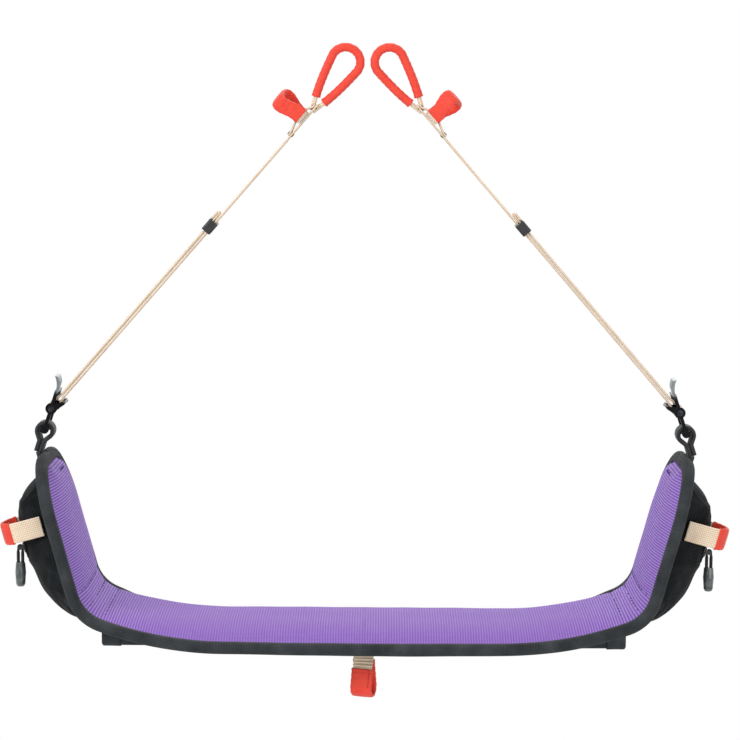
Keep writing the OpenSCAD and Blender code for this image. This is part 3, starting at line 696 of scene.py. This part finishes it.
def fold_with_wing(obj, side, g):
    """The piece bends from the seat to the wing across the fold."""
    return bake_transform(obj, "seat", "wing_" + side, start=row(pad_at(S_FOLD - FOLD_EARLY, 0, -FOLD_DEEP), g),
                    end=row(pad_at(S_WING + FOLD_LATE, 0, -FOLD_DEEP), g))


def pad_half(side, g):
    cols = TOP_COLS + LOW_COLS + 2

    def at(u, v):
        s = u * S_TIP
        j = round(v * cols) % cols
        top = j <= TOP_COLS
        k = 2 * j / TOP_COLS - 1 if top else 1 - 2 * (j - TOP_COLS - 1) / LOW_COLS
        y = k * half_at(s) - (FRONT_BOW * middle(s) * abs(k) ** 6 if k < 0 else 0)
        if not top:
            return pad_at(s, y, low_h(s, y)), s * MM, y * MM, -1
        # ribs stand lower on the seat than on the wings, and their painted crest highlight and valley shade are
        # fainter there
        full = RIB_SEAT + RIB_MORE * ease((s - S_FLAT - RIB_START) / RIB_FADE)
        # crest shapes the ribs and also carries the mesh's painted crest highlight and valley shade
        crest = 0.5 + 0.5 * cos(2 * pi * s / RIB_PITCH) * full
        edge = rise_in(s, y)
        rib = RIB_HIGH * (crest - 0.5) * (1 - 0.6 * edge)
        soft = swell_at(g * s, k) - 0.5 * PUFF + 0.35 * wobble(s / 14, y / 17, 2 + g)
        return pad_at(s, y, top_h(s, y) + soft * (1 - edge) + rib), s * MM, y * MM, crest

    bm = skin(round(S_TIP / RIB_PITCH) * RIB_STEPS, cols, at, closed=True, extra="rib")
    rib = bm.verts.layers.float["rib"]
    for f in bm.faces:
        if min(v[rib] for v in f.verts) < 0 or len(f.verts) > 4:
            f.material_index = 1
    obj = made("pad_" + side, bm, g, MESH)
    obj.data.materials.append(CLOTH)
    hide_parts("seat_mesh", "seat_foam", "seat_backing", "wing_mesh_" + side, "wing_foam_" + side,
                "wing_backing_" + side)
    return fold_with_wing(obj, side, g)


# Edge tape, folded round the whole rim of each half

TIP_STEPS, ROUND_STEPS = 14, 24
# half of the tape's outer face: out from the pad's edge, and above the edge's upper face
TAPE_HALF = [(-LIP, 0.9), (-LIP + 0.6, 1.6), (-6.5, 2.0), (-5.6, 1.7), (-4.7, 2.1), (-2, 2.3), (0.8, 1.2),
             (2.5, -0.9)]
TAPE_TOP, TAPE_FOOT = -EDGE_DROP, -EDGE_DROP - EDGE_T
TAPE_OUT = ([(out, TAPE_TOP + up) for out, up in TAPE_HALF] + [(3.2, (TAPE_TOP + TAPE_FOOT) / 2)]
            + [(out, TAPE_FOOT - up) for out, up in reversed(TAPE_HALF)])
TAPE_IN = [(-LIP + 1, TAPE_FOOT + 0.6), (-1, TAPE_FOOT + 0.4), (-1, TAPE_TOP - 0.4),
           (-LIP + 1, TAPE_TOP - 0.6)]


def rim():
    """Places along the pad's edge, with the way out of the pad there and how far the edge sinks."""
    front = []
    s = 0.0
    while s < S_ROUND - 0.1:
        front.append((s, -HALF - FRONT_BOW * middle(s), 0, -1, -FRONT_SAG * middle(s)))
        s += 4 if s < S_FOLD - 20 or s > S_WING + 10 else 2
    for i in range(ROUND_STEPS + 1):
        a = i * pi / 2 / ROUND_STEPS
        e = ((HALF - TIP_H) * sin(a), -TIP_ROUND * cos(a))
        d = hypot(*e)
        front.append((S_ROUND + TIP_ROUND * sin(a), -TIP_H - (HALF - TIP_H) * cos(a), e[0] / d, e[1] / d, 0))
    back = []
    for s, y, o, p, _ in reversed(front):
        back.append((s, HALF if s <= S_ROUND else -y, o, -p, -BACK_ROLL * rolled(s)))
    tip = [(S_TIP, -TIP_H + TIP_W * i / TIP_STEPS, 1, 0, 0) for i in range(1, TIP_STEPS)]
    return front + tip + back


def edge_tape(side, g):
    edge = rim()
    section = TAPE_OUT + TAPE_IN + TAPE_OUT[:1]
    n, m = len(edge) - 1, len(section) - 1
    lengths = along_path([(s, y) for s, y, *_ in edge])
    girth = along_path(section)

    def at(u, v):
        i, j = round(u * n), round(v * m)
        s, y, o, p, drop = edge[i]
        out, h = section[j]
        outer = j % m < len(TAPE_OUT)
        pucker = 0.35 * wobble(lengths[i] / 21, h / 4, g) * ease(s / 40) if outer else 0
        h += pucker + drop
        out += pucker
        return pad_at(max(0, s + out * o), y + out * p, h), lengths[i] * MM, girth[j] * MM

    bm = skin(n, m, at, closed=True)
    crease = bm.edges.layers.float.new("crease_edge")
    for f in bm.faces:
        if len(f.verts) > 4:
            for e in f.edges:
                e[crease] = 1.0
    obj = made("edge_tape_" + side, bm, g, BINDING)
    modify(obj, "SUBSURF", levels=1, render_levels=1)
    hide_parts("seat_binding", "wing_binding_" + side, "wing_tip_" + side)
    return fold_with_wing(obj, side, g)


def pad_stitches(side, g):
    """Sewn rows across the fold, with some stitches sunk out of sight, and the tack at the wing's top."""
    shapes = []
    for n, s in enumerate(CHANNELS):
        for y in range(-STITCH_SPAN, STITCH_SPAN, STITCH_STEP):
            if wobble(y / 9, n * 2.0, g) > STITCH_SUNK:
                long = STITCH_LONG + 0.6 * sin(y * 1.3 + n)
                lean = 0.5 * sin(y + n)
                h = top_h(s, y) - 0.5 * PUFF * (1 - rise_in(s, y)) + 0.2
                a, b = pad_at(s + lean, y, h), pad_at(s - lean, y + long, h)
                shapes.append(stitch(a, b, pad_up(s), STITCH_W, STITCH_HIGH))
    s = S_TIP - TACK_DOWN
    for y in range(-TACK_SPAN, TACK_SPAN + 1, TACK_STEP):
        h = top_h(s, y) + 0.35
        shapes.append(stitch(pad_at(s, y, h), pad_at(s + 3.5, y + 1.5, h), pad_up(s), 1.0, 0.8))
    obj = made("pad_stitches_" + side, gather(shapes), g, DARK_THREAD)
    return fold_with_wing(obj, side, g)


# Board sleeve, its folded ends and the load strap

SLEEVE_POWER, SLEEVE_ROWS, SLEEVE_ROUND, SLEEVE_RISE = 9, 150, 72, 0.6
FLAP_T, FLAP_TURN = 1.2, 2.5


def sleeve_at(x, v, grow):
    """A point of the board's cloth tube; its top rises towards the pad at both ends."""
    run = max(0, abs(x) - S_FLAT)
    rise = SLEEVE_RISE * (LIFT_R - sqrt(LIFT_R**2 - run**2))
    c, s = squared(2 * pi * v, SLEEVE_POWER)
    mid = SLEEVE_TOP - SLEEVE_T / 2 + rise / 2
    point = Vector((x, c * (SLEEVE_H + grow), mid + s * ((SLEEVE_T + rise) / 2 + grow * 0.7)))
    return point, x * MM, c * SLEEVE_H * MM


def board_sleeve():
    def at(u, v):
        x = (2 * u - 1) * SLEEVE_END
        c, s = squared(2 * pi * v, SLEEVE_POWER)
        return sleeve_at(x, v, 0.3 * wobble(x / 23, c * 4 + s, 1.0))

    bm = skin(SLEEVE_ROWS, SLEEVE_ROUND, at, closed=True, ends=False)
    obj = made("cloth_sleeve", bm, 1, SLEEVE)
    modify(obj, "SOLIDIFY", thickness=SLEEVE_WALL * MM, offset=-1)
    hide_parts("board_sleeve")
    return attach(obj, "seat")


def sleeve_end(side, g):
    near = SLEEVE_END - SLEEVE_HEM
    far = SLEEVE_END + SLEEVE_WALL + GAP + FLAP_T

    def at(u, v):
        x = near + u * (far - near)
        c, s = squared(2 * pi * v, SLEEVE_POWER)
        turned = clamp((x - far + FLAP_TURN) / FLAP_TURN)
        crumple = 0.25 * wobble(x / 6, c * 5 + s, 3.0)
        return sleeve_at(x, v, FLAP_T + crumple - FLAP_TURN * (1 - sqrt(1 - turned**2)))

    bm = skin(16, SLEEVE_ROUND, at, closed=True)
    return piece("sleeve_end_" + side, bm, g, SLEEVE, "black_cloth", "seat", "sleeve_flap_" + side)


def load_strap():
    x = SLEEVE_END + SLEEVE_WALL + GAP + 2 + GAP + WEB_MID
    low = SLEEVE_TOP - SLEEVE_T - SLEEVE_WALL - 2 * GAP - WEB_MID
    high = pad_at(S_FOLD, 0, -(EDGE_DROP + EDGE_T + 3.5)).z - 2
    path = rounded_turns([(-x, high), (-x, low), (x, low), (x, high)], 2.5)
    bm = ribbon(fine(path, 4), lambda a, b, c: Vector((a, c, b)), WEB_W, WEB_T)
    piece("load_strap", bm, 1, BLACK_WEB, "black_webbing", "seat", "load_webbing")


# Tool loop under the front edge, with the rolled head it turns on

TOOL_HEAD_R = WEB_T + 0.2
TOOL_Y = -SLEEVE_H + 10
TOOL_Z = SLEEVE_TOP - SLEEVE_T - TOOL_HEAD_R - GAP
TOOL_BARE, TOOL_BARE_BACK = -19.5, -10.5
TOOL_NECK, SEAM_OUT, SEAM_LIFT = 1.5, 7, 0.95


def tool_loop():
    reach = TOOL_LEN - TOOL_R - WEB_T
    spread = asin((TOOL_R + WEB_T) / reach)
    r = TOOL_R + WEB_MID
    path = drop_path((0, -reach), (0, 1), spread, r, r / sin(spread) * cos(spread) - TOOL_NECK)
    path = [(path[0][0], 0.0)] + path + [(path[-1][0], 0.0)]

    def put(a, b, c):
        a, c = twisted(a, c, (-b - 3) / 16)
        return Vector((c, TOOL_Y + a, TOOL_Z + b))

    bm = ribbon(fine(path, 0.6), put, WEB_W, WEB_T, swell=ribbed)
    piece("tool_loop_web", bm, 1, TAN_WEB, "tan_webbing", "tool_loop", "tool_loop")
    half = WEB_W / 2
    across = [(x, 0) for x in (-half, 0.8 - half, 0, half - 0.8, half)]
    round_w = 2 * TOOL_HEAD_R
    bm = ribbon(across, lambda a, b, c: Vector((a, TOOL_Y + c, TOOL_Z + b)), round_w, round_w, power=2)
    piece("tool_loop_head", bm, 1, TAN_WEB, "tan_webbing", "tool_loop")
    covered = [p for p in path if p[1] < (TOOL_BARE if p[0] < 0 else TOOL_BARE_BACK)]
    bm = cover(covered, put, WEB_W)
    piece("tool_loop_cover", bm, 1, RED, "red_sleeve", "tool_loop", "tool_loop_sleeve")
    front = [p for p in covered if p[0] < 0 and p[1] > -reach]
    shapes = []
    for a, b in list(zip(front[1:], front[3:]))[::3]:
        out = Vector((0, b[1] - a[1], a[0] - b[0])).normalized()
        if out.y > 0:
            out = -out
        low, high = [put(p[0], p[1], SEAM_OUT) + out * (WEB_MID + SEAM_LIFT) for p in (a, b)]
        shapes.append(stitch(low, high, out, 0.8, 0.5))
    piece("tool_loop_seam", gather(shapes), 1, RED_THREAD, "red_sleeve", "tool_loop")


# Wing: strap, the free loop that carries the adjuster, pocket, zip and gear loop

POCKET_TOP = WING_LEN - LIP - 3
POCKET_MID = (POCKET_TOP + POCKET_LOW) / 2
POCKET_RISE = (POCKET_TOP - POCKET_LOW) / 2
POCKET_TIP = TIP_H - 4
POCKET_WALL, POCKET_LIFT = 1.1, 0.8
POCKET_ROWS, POCKET_COLS, DRAPE_FRAMES = 64, 54, 24
POCKET_OVER = WEB_T + 0.4
ROUND_U = WING_LEN - TIP_ROUND
ZIP_X = WEB_X + POCKET_OVER + POCKET_LIFT + POCKET_BULGE + 1.6
ZIP_REACH, ZIP_HALF, ZIP_LIFT, ZIP_END = 0.66, 8, 0.75, 3
TOOTH_PITCH, TOOTH_HALF, TOOTH_SHIFT, TOOTH_LIFT, TOOTH_W, TOOTH_HIGH = 1.25, 2.1, 0.7, 1.4, 0.9, 0.8
CORD_R, CORD_DROP, CORD_W, CORD_T, CORD_FULL = 2.2, 19, 2.4, 2.0, 0.65
HANG_FULL, HANG_FULL_LEN = 1.3, 16
# how sharply the pocket's bulge ends at its top, its foot and its sides, and its pull at the gear loop
BULGE_TOP, BULGE_FOOT, BULGE_SIDE, BULGE_PULL, PULL_SPAN = 5, 1.6, 6, 0.14, 30
# creases: their height, and their turn in degrees for each millimetre up and for half the width
CREASE, CREASE_UP, CREASE_ACROSS = 3.0, 7, 100
CALM_ZIP, CALM_GEAR, CALM_FADE, CALM_HELD = 8, 11, 8, 0.2
GEAR_FOOT, GEAR_BARE, GEAR_BARE_OUT = 14, 1.2, 8.2


def hang_strap(side, g):
    path = fine([(HANG_ROOT[0], 0), (HANG_ROOT[0], THROAT_U - 0.4)], 3)

    def doubled(length, total, angle):
        return HANG_FULL * ease((length - total + HANG_FULL_LEN) / 8)

    bm = ribbon(path, lambda a, b, c: wing_at(a, c, b), WEB_W, WEB_T, swell=doubled)
    piece("hang_strap_" + side, bm, g, BLACK_WEB, "black_webbing", "wing_" + side, "hang_webbing_" + side)


def hang_ring(side, g):
    lean = WING_ANGLE - pi + BUCKLE_LEAN
    reach = HANG_LEN - HANG_R + PIN_R + GAP
    r = HANG_R + WEB_T
    rise = reach - HANG_NECK
    far = hypot(rise, WEB_T)
    spread = asin(r / far) - atan2(WEB_T, rise)
    path = drop_path((0, reach), (0, -1), spread, r, sqrt(far**2 - r**2), 1.0)
    path = fine([(path[0][0], 0)] + path + [(path[-1][0], 0)], 1.0)

    def put(a, b, c):
        out = HANG_ROOT[0] + a * cos(lean) + b * sin(lean)
        return wing_at(out, c, HANG_ROOT[1] - a * sin(lean) + b * cos(lean))

    bm = ribbon(path, put, WEB_W, 2 * WEB_T)
    piece("hang_ring_" + side, bm, g, BLACK_WEB, "black_webbing", "hang_loop_" + side, "hang_loop_" + side)


def pocket_half(u):
    """Half the pocket's width, which narrows with the wing's top."""
    if u <= ROUND_U:
        return POCKET_W / 2
    rest = POCKET_W / 2 - POCKET_TIP
    return POCKET_TIP + rest * sqrt(max(0, 1 - ((u - ROUND_U) / (POCKET_TOP - ROUND_U)) ** 2))


def slack(u, k):
    """How far the pocket stands out, u up the wing and k from -1 to 1 across it."""
    a = min(1, abs(u - POCKET_MID) / POCKET_RISE)
    pulled = 1 + BULGE_PULL * ease(1 - abs(u - GEAR_U) / PULL_SPAN) if k > 0 else 1
    upright = 1 - a ** (BULGE_TOP if u > POCKET_MID else BULGE_FOOT)
    return POCKET_BULGE * upright * (1 - min(1, abs(k) * pulled) ** BULGE_SIDE)


def pocket_base(u, k):
    """Where the pocket's cloth would lie flat: on the wing at its rim, over the strap in the middle."""
    b = pocket_half(u)
    return WEB_X + POCKET_OVER * clamp(b * (1 - abs(k)) / (b - WEB_W / 2 - 1))


def calm(u):
    """0 where the zip and the gear loop are sewn on, 1 away from them."""
    return ease((abs(u - ZIP_U) - CALM_ZIP) / CALM_FADE) * ease((abs(u - GEAR_U) - CALM_GEAR) / CALM_FADE)


def pocket_x(u, k):
    """How far the pocket's cloth lies from the wing, with its creases."""
    crease = CREASE * sin(radians(u * CREASE_UP + k * CREASE_ACROSS))
    loose = min(1, slack(u, k) / POCKET_BULGE * 1.6)
    return pocket_base(u, k) + POCKET_LIFT + slack(u, k) + crease * loose * calm(u)


def pocket_sheet():
    def at(u, v):
        # rows close up where the pocket turns in at its top and bottom
        w = POCKET_MID - POCKET_RISE * cos(pi * u)
        k = sin((v - 0.5) * pi)
        x, y = pocket_x(w, k), -k * pocket_half(w)
        point = wing_at(x, y, w) if w > 0 else pad_at(S_WING + FOOT_TUCK * w, y, -x)
        return point, w * MM, y * MM

    bm = skin(POCKET_ROWS, POCKET_COLS, at)
    bm.verts.ensure_lookup_table()
    return bm


def draped_pocket():
    """The pocket's cloth after it has sagged: held round its rim, at the zip and at the gear loop."""
    bm = pocket_sheet()
    begun = [v.co.copy() for v in bm.verts]
    along = bm.verts.layers.float["along"]
    held = [v.index for v in bm.verts if v.is_boundary or calm(v[along] / MM) < CALM_HELD]
    bmesh.ops.scale(bm, vec=(MM, MM, MM), verts=bm.verts)
    ends = settled("drape", bm, held, DRAPE_FRAMES, 0.6, quality=6, mass=0.12, bending_stiffness=0.8,
                   shrink_min=-0.05)
    out = []
    for a, b in zip(begun, ends):
        move = b / MM - a
        if move.length > DRAPE_MOST:
            move *= DRAPE_MOST / move.length
        out.append(a + move)
    return out


pocket_points = draped_pocket()


def pocket(side, g):
    bm = pocket_sheet()
    for v, p in zip(bm.verts, pocket_points):
        v.co = p
    area = sum(f.calc_area() for f in bm.faces) * MM**2
    obj = made("pocket_" + side, bm, g, CLOTH)
    modify(obj, "SOLIDIFY", thickness=POCKET_WALL * MM, offset=-1)
    modify(obj, "SUBSURF", levels=1, render_levels=1)
    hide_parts("wing_pocket_" + side)
    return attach(obj, "wing_" + side)


def zip_parts(side, g):
    length = ZIP_REACH * POCKET_W

    def tape_at(u, v):
        k = (2 * u - 1) * ZIP_REACH
        c, s = squared(2 * pi * v, 6)
        x = pocket_x(ZIP_U, k) + ZIP_LIFT + 0.5 * s
        point = wing_at(x, -k * POCKET_W / 2, ZIP_U + ZIP_HALF * c)
        return point, u * length * MM, c * ZIP_HALF * MM

    bm = skin(60, 20, tape_at, closed=True)
    piece("zip_tape_" + side, bm, g, CLOTH, "zip", "wing_" + side, "pocket_zip_" + side)
    out = wing_at(1, 0, 0) - wing_at(0, 0, 0)
    shapes = []
    for n in range(ceil((length - 2 * ZIP_END) / TOOTH_PITCH)):
        y = ZIP_END - length / 2 + n * TOOTH_PITCH
        x = pocket_x(ZIP_U, -y * 2 / POCKET_W) + TOOTH_LIFT
        u = ZIP_U + (TOOTH_SHIFT if n % 2 else -TOOTH_SHIFT)
        a, b = wing_at(x, y, u - TOOTH_HALF), wing_at(x, y, u + TOOTH_HALF)
        shapes.append(stitch(a, b, out, TOOTH_W, TOOTH_HIGH))
    piece("zip_teeth_" + side, gather(shapes), g, ZIP, "zip", "wing_" + side)
    pull = wing_at(ZIP_X + BAIL_X, 0, ZIP_U)
    turn = [(CORD_R * cos(a * pi / 8), CORD_R * sin(a * pi / 8)) for a in range(9)]
    path = [(x, z + 0.4) for x, z in turn] + [(-x, -CORD_DROP - z) for x, z in turn]

    def put(a, b, c):
        return Vector((pull.x + a, ZIP_Y + c, pull.z + b))

    def thicker(length, total, angle):
        return CORD_FULL * ease((length - 8) / 5) * ease((total - 1 - length) / 5)

    bm = ribbon(fine(path + path[:1], 0.8), put, CORD_W, CORD_T, rows=12, power=2, swell=thicker)
    piece("pull_cord_" + side, bm, g, CORD, "black_cord", "zip_pull_" + side, "zip_cord_" + side)


def gear_loop(side, g):
    far = WEB_X + POCKET_BULGE - 3
    r = GEAR_R + WEB_MID

    def root(b):
        """Where a leg meets the pocket's cloth."""
        k = -(GEAR_Y + b) * 2 / POCKET_W
        return max(pocket_x(u, k) for u in (GEAR_U - GEAR_FOOT, GEAR_U, GEAR_U + GEAR_FOOT)) + 0.5

    arc = [(far + r * cos(a), r * sin(a)) for a in (i * pi / 30 - pi / 2 for i in range(31))]
    path = fine([(root(-GEAR_R), -r)] + arc + [(root(GEAR_R), r)], 1.2)

    def put(a, b, c):
        return wing_at(a, GEAR_Y + b, GEAR_U + c)

    bm = ribbon(path, put, WEB_W, WEB_T)
    piece("gear_loop_web_" + side, bm, g, TAN_WEB, "tan_webbing", "wing_" + side, "gear_loop_" + side)
    bare = root(GEAR_R) + GEAR_BARE
    covered = [p for p in path if p[1] > 0 and p[0] > bare or p[0] > far + GEAR_BARE_OUT]
    bm = cover(covered, put, WEB_W)
    piece("gear_loop_cover_" + side, bm, g, RED, "red_sleeve", "wing_" + side, "gear_loop_sleeve_" + side)


# Strap: turn round the bar, run, tail, splice, eye and side loop

TURN_R = BAR_R + GAP
CUT_T, MEET_T = 5, 16
TAIL_END = KEEPER_T + 16
SPLICE_T = STRAP_LEN - SPLICE_LEN
LOOP_T = STRAP_LEN - SPLICE_LEN / 2
LOOP_Q = -GAP + 0.5
FULLER, FULL_FADE = 0.17, 12
ROW_COUNT, ROW_FIRST, ROW_STEP, ROW_SLANT = 7, -9.6, 2.9, 0.7
EYE_BOW, EYE_FOOT, EYE_BARE = 1.6, 12, 1


def spread_at(t):
    """How far each layer lies from the strap's middle: round the bar at first, then side by side."""
    return GAP + (TURN_R - GAP) * max(0, 1 - t / MEET_T)


def fuller(t):
    """Woven webbing is a little fuller between its clamped ends, but still slips through the keeper."""
    return FULLER * ease((t - CUT_T - 2) / FULL_FADE) * ease((SPLICE_T - t) / 8)


def flat_strap(a, b, c):
    return strap_at(a, c, b)


def strap_turn(side, g):
    r = TURN_R + WEB_MID
    out = spread_at(CUT_T) + WEB_MID
    turn = [(r * cos(i * pi / 20), -r * sin(i * pi / 20)) for i in range(21)]
    bm = ribbon(fine([(out, CUT_T)] + turn + [(-out, CUT_T)], 1), flat_strap, WEB_W, WEB_T)
    piece("strap_turn_" + side, bm, g, TAN_WEB, "tan_webbing", "buckle_" + side, "strap_wrap_" + side)


def strap_run(side, g):
    path = [(-spread_at(t) - WEB_MID, t) for t in (CUT_T, MEET_T, STRAP_LEN - 3)]
    path = [(q - fuller(t), t) for q, t in fine(path, 3)]
    bm = ribbon(path, flat_strap, WEB_W, WEB_T, swell=lambda length, total, angle: fuller(length + CUT_T))
    run = made("strap_long_" + side, bm, g, TAN_WEB)
    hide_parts("strap_run_" + side)
    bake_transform(run, "buckle_" + side, "strap_" + side, start=row(strap_at(0, 0, CUT_T + 2), g),
             end=row(strap_at(0, 0, SPLICE_T - 5), g))


def strap_tail(side, g):
    fold = []
    for a in (i * pi / 8 for i in range(9)):
        fold.append((GAP + WEB_T - WEB_MID * cos(a), TAIL_END - 1.2 + WEB_MID * sin(a)))
    path = [(spread_at(t) + WEB_MID, t) for t in (CUT_T, MEET_T, TAIL_END - 1.4)]
    path = fine(path + fold + [(GAP + 1.5 * WEB_T, KEEPER_T + 7.6)], 2)

    def full(t):
        return fuller(t) * ease((KEEPER_T - t) / FULL_FADE)

    bm = ribbon([(q + full(t), t) for q, t in path], flat_strap, WEB_W, WEB_T,
                swell=lambda length, total, angle: full(length + CUT_T))
    tail = made("strap_back_" + side, bm, g, TAN_WEB)
    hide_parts("strap_tail_" + side)
    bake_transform(tail, "buckle_" + side, "tail_" + side, start=row(strap_at(0, 0, CUT_T + 2), g),
             end=row(strap_at(0, 0, KEEPER_T - 12), g))


def splice(side, g):
    """The outer layer below the eye, raised over the side loop, with its rows of tacks on both faces."""
    end = STRAP_LEN - 5
    flat = -GAP + WEB_MID
    over = LOOP_Q + WEB_T + 0.6 + WEB_MID
    half = SIDE_LOOP_W / 2 + 2
    path = [(flat, SPLICE_T), (flat, SPLICE_T + 4), (over, LOOP_T - half), (over, LOOP_T + half),
            (flat, end - 3), (flat, end)]
    bm = ribbon(fine(rounded_turns(path, 1.4), 1.5), flat_strap, WEB_W, WEB_T)
    piece("splice_" + side, bm, g, TAN_WEB, "tan_webbing", "strap_" + side)
    out = strap_at(1, 0, 0) - strap_at(0, 0, 0)
    shapes = []
    for t in (SPLICE_T + 1.6, SPLICE_T + 3.4, end - 2.2):
        for y in (ROW_FIRST + ROW_STEP * n for n in range(ROW_COUNT)):
            for face in (1, -1):
                q = -GAP + face * WEB_T
                slant = ROW_SLANT * face
                a, b = strap_at(q, y, t - slant), strap_at(q, y + 2, t + slant)
                shapes.append(stitch(a, b, face * out, 1.1, 0.7))
    piece("splice_tacks_" + side, gather(shapes), g, TACK_THREAD, "tan_webbing", "strap_" + side)


def hanging_eye(side, g):
    centre = (EYE_LEN * sin(EYE_LEAN), STRAP_LEN + EYE_LEN * cos(EYE_LEAN))
    leg = EYE_R / sin(EYE_SPREAD) * cos(EYE_SPREAD)
    path = drop_path(centre, (-sin(EYE_LEAN), -cos(EYE_LEAN)), EYE_SPREAD, EYE_R, leg, bow=EYE_BOW)
    inner = [p for p in path if p[1] > STRAP_LEN - EYE_FOOT]
    bm = ribbon(inner, flat_strap, WEB_W / 2, 2 * WEB_T, power=4)
    piece("eye_web_" + side, bm, g, TAN_WEB, "tan_webbing", "strap_" + side)
    covered = [p for p in path if p[1] > STRAP_LEN + EYE_BARE]
    bm = ribbon(covered, flat_strap, WEB_W / 2 + 3.6, EYE_SLEEVE_T - 0.4, rows=28, power=2.6, swell=puckered)
    piece("eye_cover_" + side, bm, g, RED, "red_sleeve", "strap_" + side, "eye_sleeve_" + side)


def side_loop(side, g):
    near = LOOP_Q + WEB_MID
    far = LOOP_Q + SIDE_LOOP_LEN - WEB_MID
    half = (WEB_W + 5) / 2 + WEB_MID
    ring = rounded_turns([(near, 0), (near, -half), (far, -half), (far, half), (near, half), (near, 0)], 4, 9)
    ring = [(q - SIDE_CROWN * ease((q - near - 12) / 12) * (y / half) ** 2, y) for q, y in fine(ring, 1.2)]

    def put(q, y, c):
        y, c = twisted(y, c, (q - near - 7) / 18, -g)
        return strap_at(q, y, LOOP_T + c)

    bm = ribbon(ring, put, SIDE_LOOP_W, WEB_T)
    piece("side_loop_web_" + side, bm, g, TAN_WEB, "tan_webbing", "strap_" + side, "side_loop_" + side)
    bm = cover([p for p in ring if p[0] > LOOP_Q + 3], put, SIDE_LOOP_W)
    piece("side_loop_cover_" + side, bm, g, RED, "red_sleeve", "strap_" + side, "side_loop_sleeve_" + side)


def dress(node, material, edge_mm):
    """A piece that keeps its CAD shape gets a finish and softened edges."""
    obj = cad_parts[node]
    obj.data.materials.clear()
    obj.data.materials.append(material)
    modify(obj, "WELD", merge_threshold=1e-5)
    modify(obj, "BEVEL", width=edge_mm * MM, segments=2, limit_method="ANGLE", angle_limit=radians(40))


tube = board_sleeve()
load_strap()
tool_loop()
dress("seat_board", PLYWOOD, 0.8)
for side, g in SIDES.items():
    pad_half(side, g)
    edge_tape(side, g)
    pad_stitches(side, g)
    sleeve_end(side, g)
    hang_strap(side, g)
    hang_ring(side, g)
    pocket(side, g)
    zip_parts(side, g)
    gear_loop(side, g)
    strap_turn(side, g)
    strap_run(side, g)
    strap_tail(side, g)
    splice(side, g)
    hanging_eye(side, g)
    side_loop(side, g)
    dress("buckle_frame_" + side, plated_steel(side, g), 0.5)
    dress("buckle_bar_" + side, BAR_STEEL, 0.5)
    dress("strap_keeper_" + side, KEEPER, 0.6)
    dress("zip_slider_" + side, ZIP, 0.3)
    dress("zip_tab_" + side, PULL, 0.5)


# Stage: pale floor well below the hanging chair, soft lamps and the photograph's camera

FLOOR_Z, FLOOR_HALF = -1.9, 14
LAMP_AIM = Vector((0, 0, -0.45))
# name, place in metres, power in watts, size in metres
LAMPS = [("key", (-1.8, -1.9, 1.0), 56, 1.4), ("fill", (1.7, -2.0, -0.3), 24, 1.6),
         ("top", (0.2, 0.6, 1.8), 18, 1.6), ("back", (0.3, 2.2, 0.4), 14, 1.6)]
AMBIENT = 0.55
SENSOR_MM, PHOTO_PX, FOCAL_PX = 36, 740, 2295.8
CAMERA_AT = Vector((0.014, -2.2658, -0.0283))
CAMERA_TO = Vector((0.0043, 0, -0.3033))
CAMERA_ROLL = radians(0.367)


def seen_plainly(tree):
    """1 for rays from the camera, a mirror or glass, which see plain white."""
    rays = add(tree, "LightPath").node.outputs
    direct = add(tree, "Math", {0: rays["Is Camera Ray"], 1: rays["Is Glossy Ray"]}, operation="MAXIMUM")
    return add(tree, "Math", {0: direct, 1: rays["Is Transmission Ray"]}, operation="MAXIMUM")


def floor_and_world(scene):
    bm = bmesh.new()
    bmesh.ops.create_grid(bm, x_segments=1, y_segments=1, size=FLOOR_HALF)
    bmesh.ops.translate(bm, vec=(0, 0, FLOOR_Z), verts=bm.verts)
    floor_obj = placed("floor", bm)
    m, tree, shader = start("pale_floor", 0.9, Base_Color=rgb("#F4F4F4"))
    glow = add(tree, "Emission", values={"Color": (1, 1, 1, 1), "Strength": 1.0})
    both = add(tree, "MixShader", {0: seen_plainly(tree), 1: shader.outputs[0], 2: glow})
    tree.links.new(both, tree.nodes["Material Output"].inputs["Surface"])
    floor_obj.data.materials.append(m)

    world = bpy.data.worlds.new("studio")
    scene.world = world
    world.use_nodes = True
    tree = world.node_tree
    back = tree.nodes["Background"]
    back.inputs["Color"].default_value = (1, 1, 1, 1)
    level = add(tree, "MapRange", {"Value": seen_plainly(tree)}, {"To Min": AMBIENT, "To Max": 1.0})
    tree.links.new(level, back.inputs["Strength"])


def lamps_and_camera(scene):
    for name, place, power, size in LAMPS:
        lamp = bpy.data.lights.new(name, "AREA")
        lamp.energy = power
        lamp.size = size
        obj = bpy.data.objects.new(name, lamp)
        obj.location = place
        obj.rotation_euler = (LAMP_AIM - Vector(place)).to_track_quat("-Z", "Y").to_euler()
        scene.collection.objects.link(obj)
    cam = bpy.data.cameras.new("camera")
    cam.sensor_width = SENSOR_MM
    cam.lens = SENSOR_MM * FOCAL_PX / PHOTO_PX
    obj = bpy.data.objects.new("camera", cam)
    obj.location = CAMERA_AT
    turn = (CAMERA_TO - CAMERA_AT).to_track_quat("-Z", "Y").to_matrix().to_4x4()
    obj.rotation_euler = (turn @ Matrix.Rotation(CAMERA_ROLL, 4, "Z")).to_euler()
    scene.collection.objects.link(obj)
    scene.camera = obj
    scene.view_settings.view_transform = "Standard"


floor_and_world(bpy.context.scene)
lamps_and_camera(bpy.context.scene)
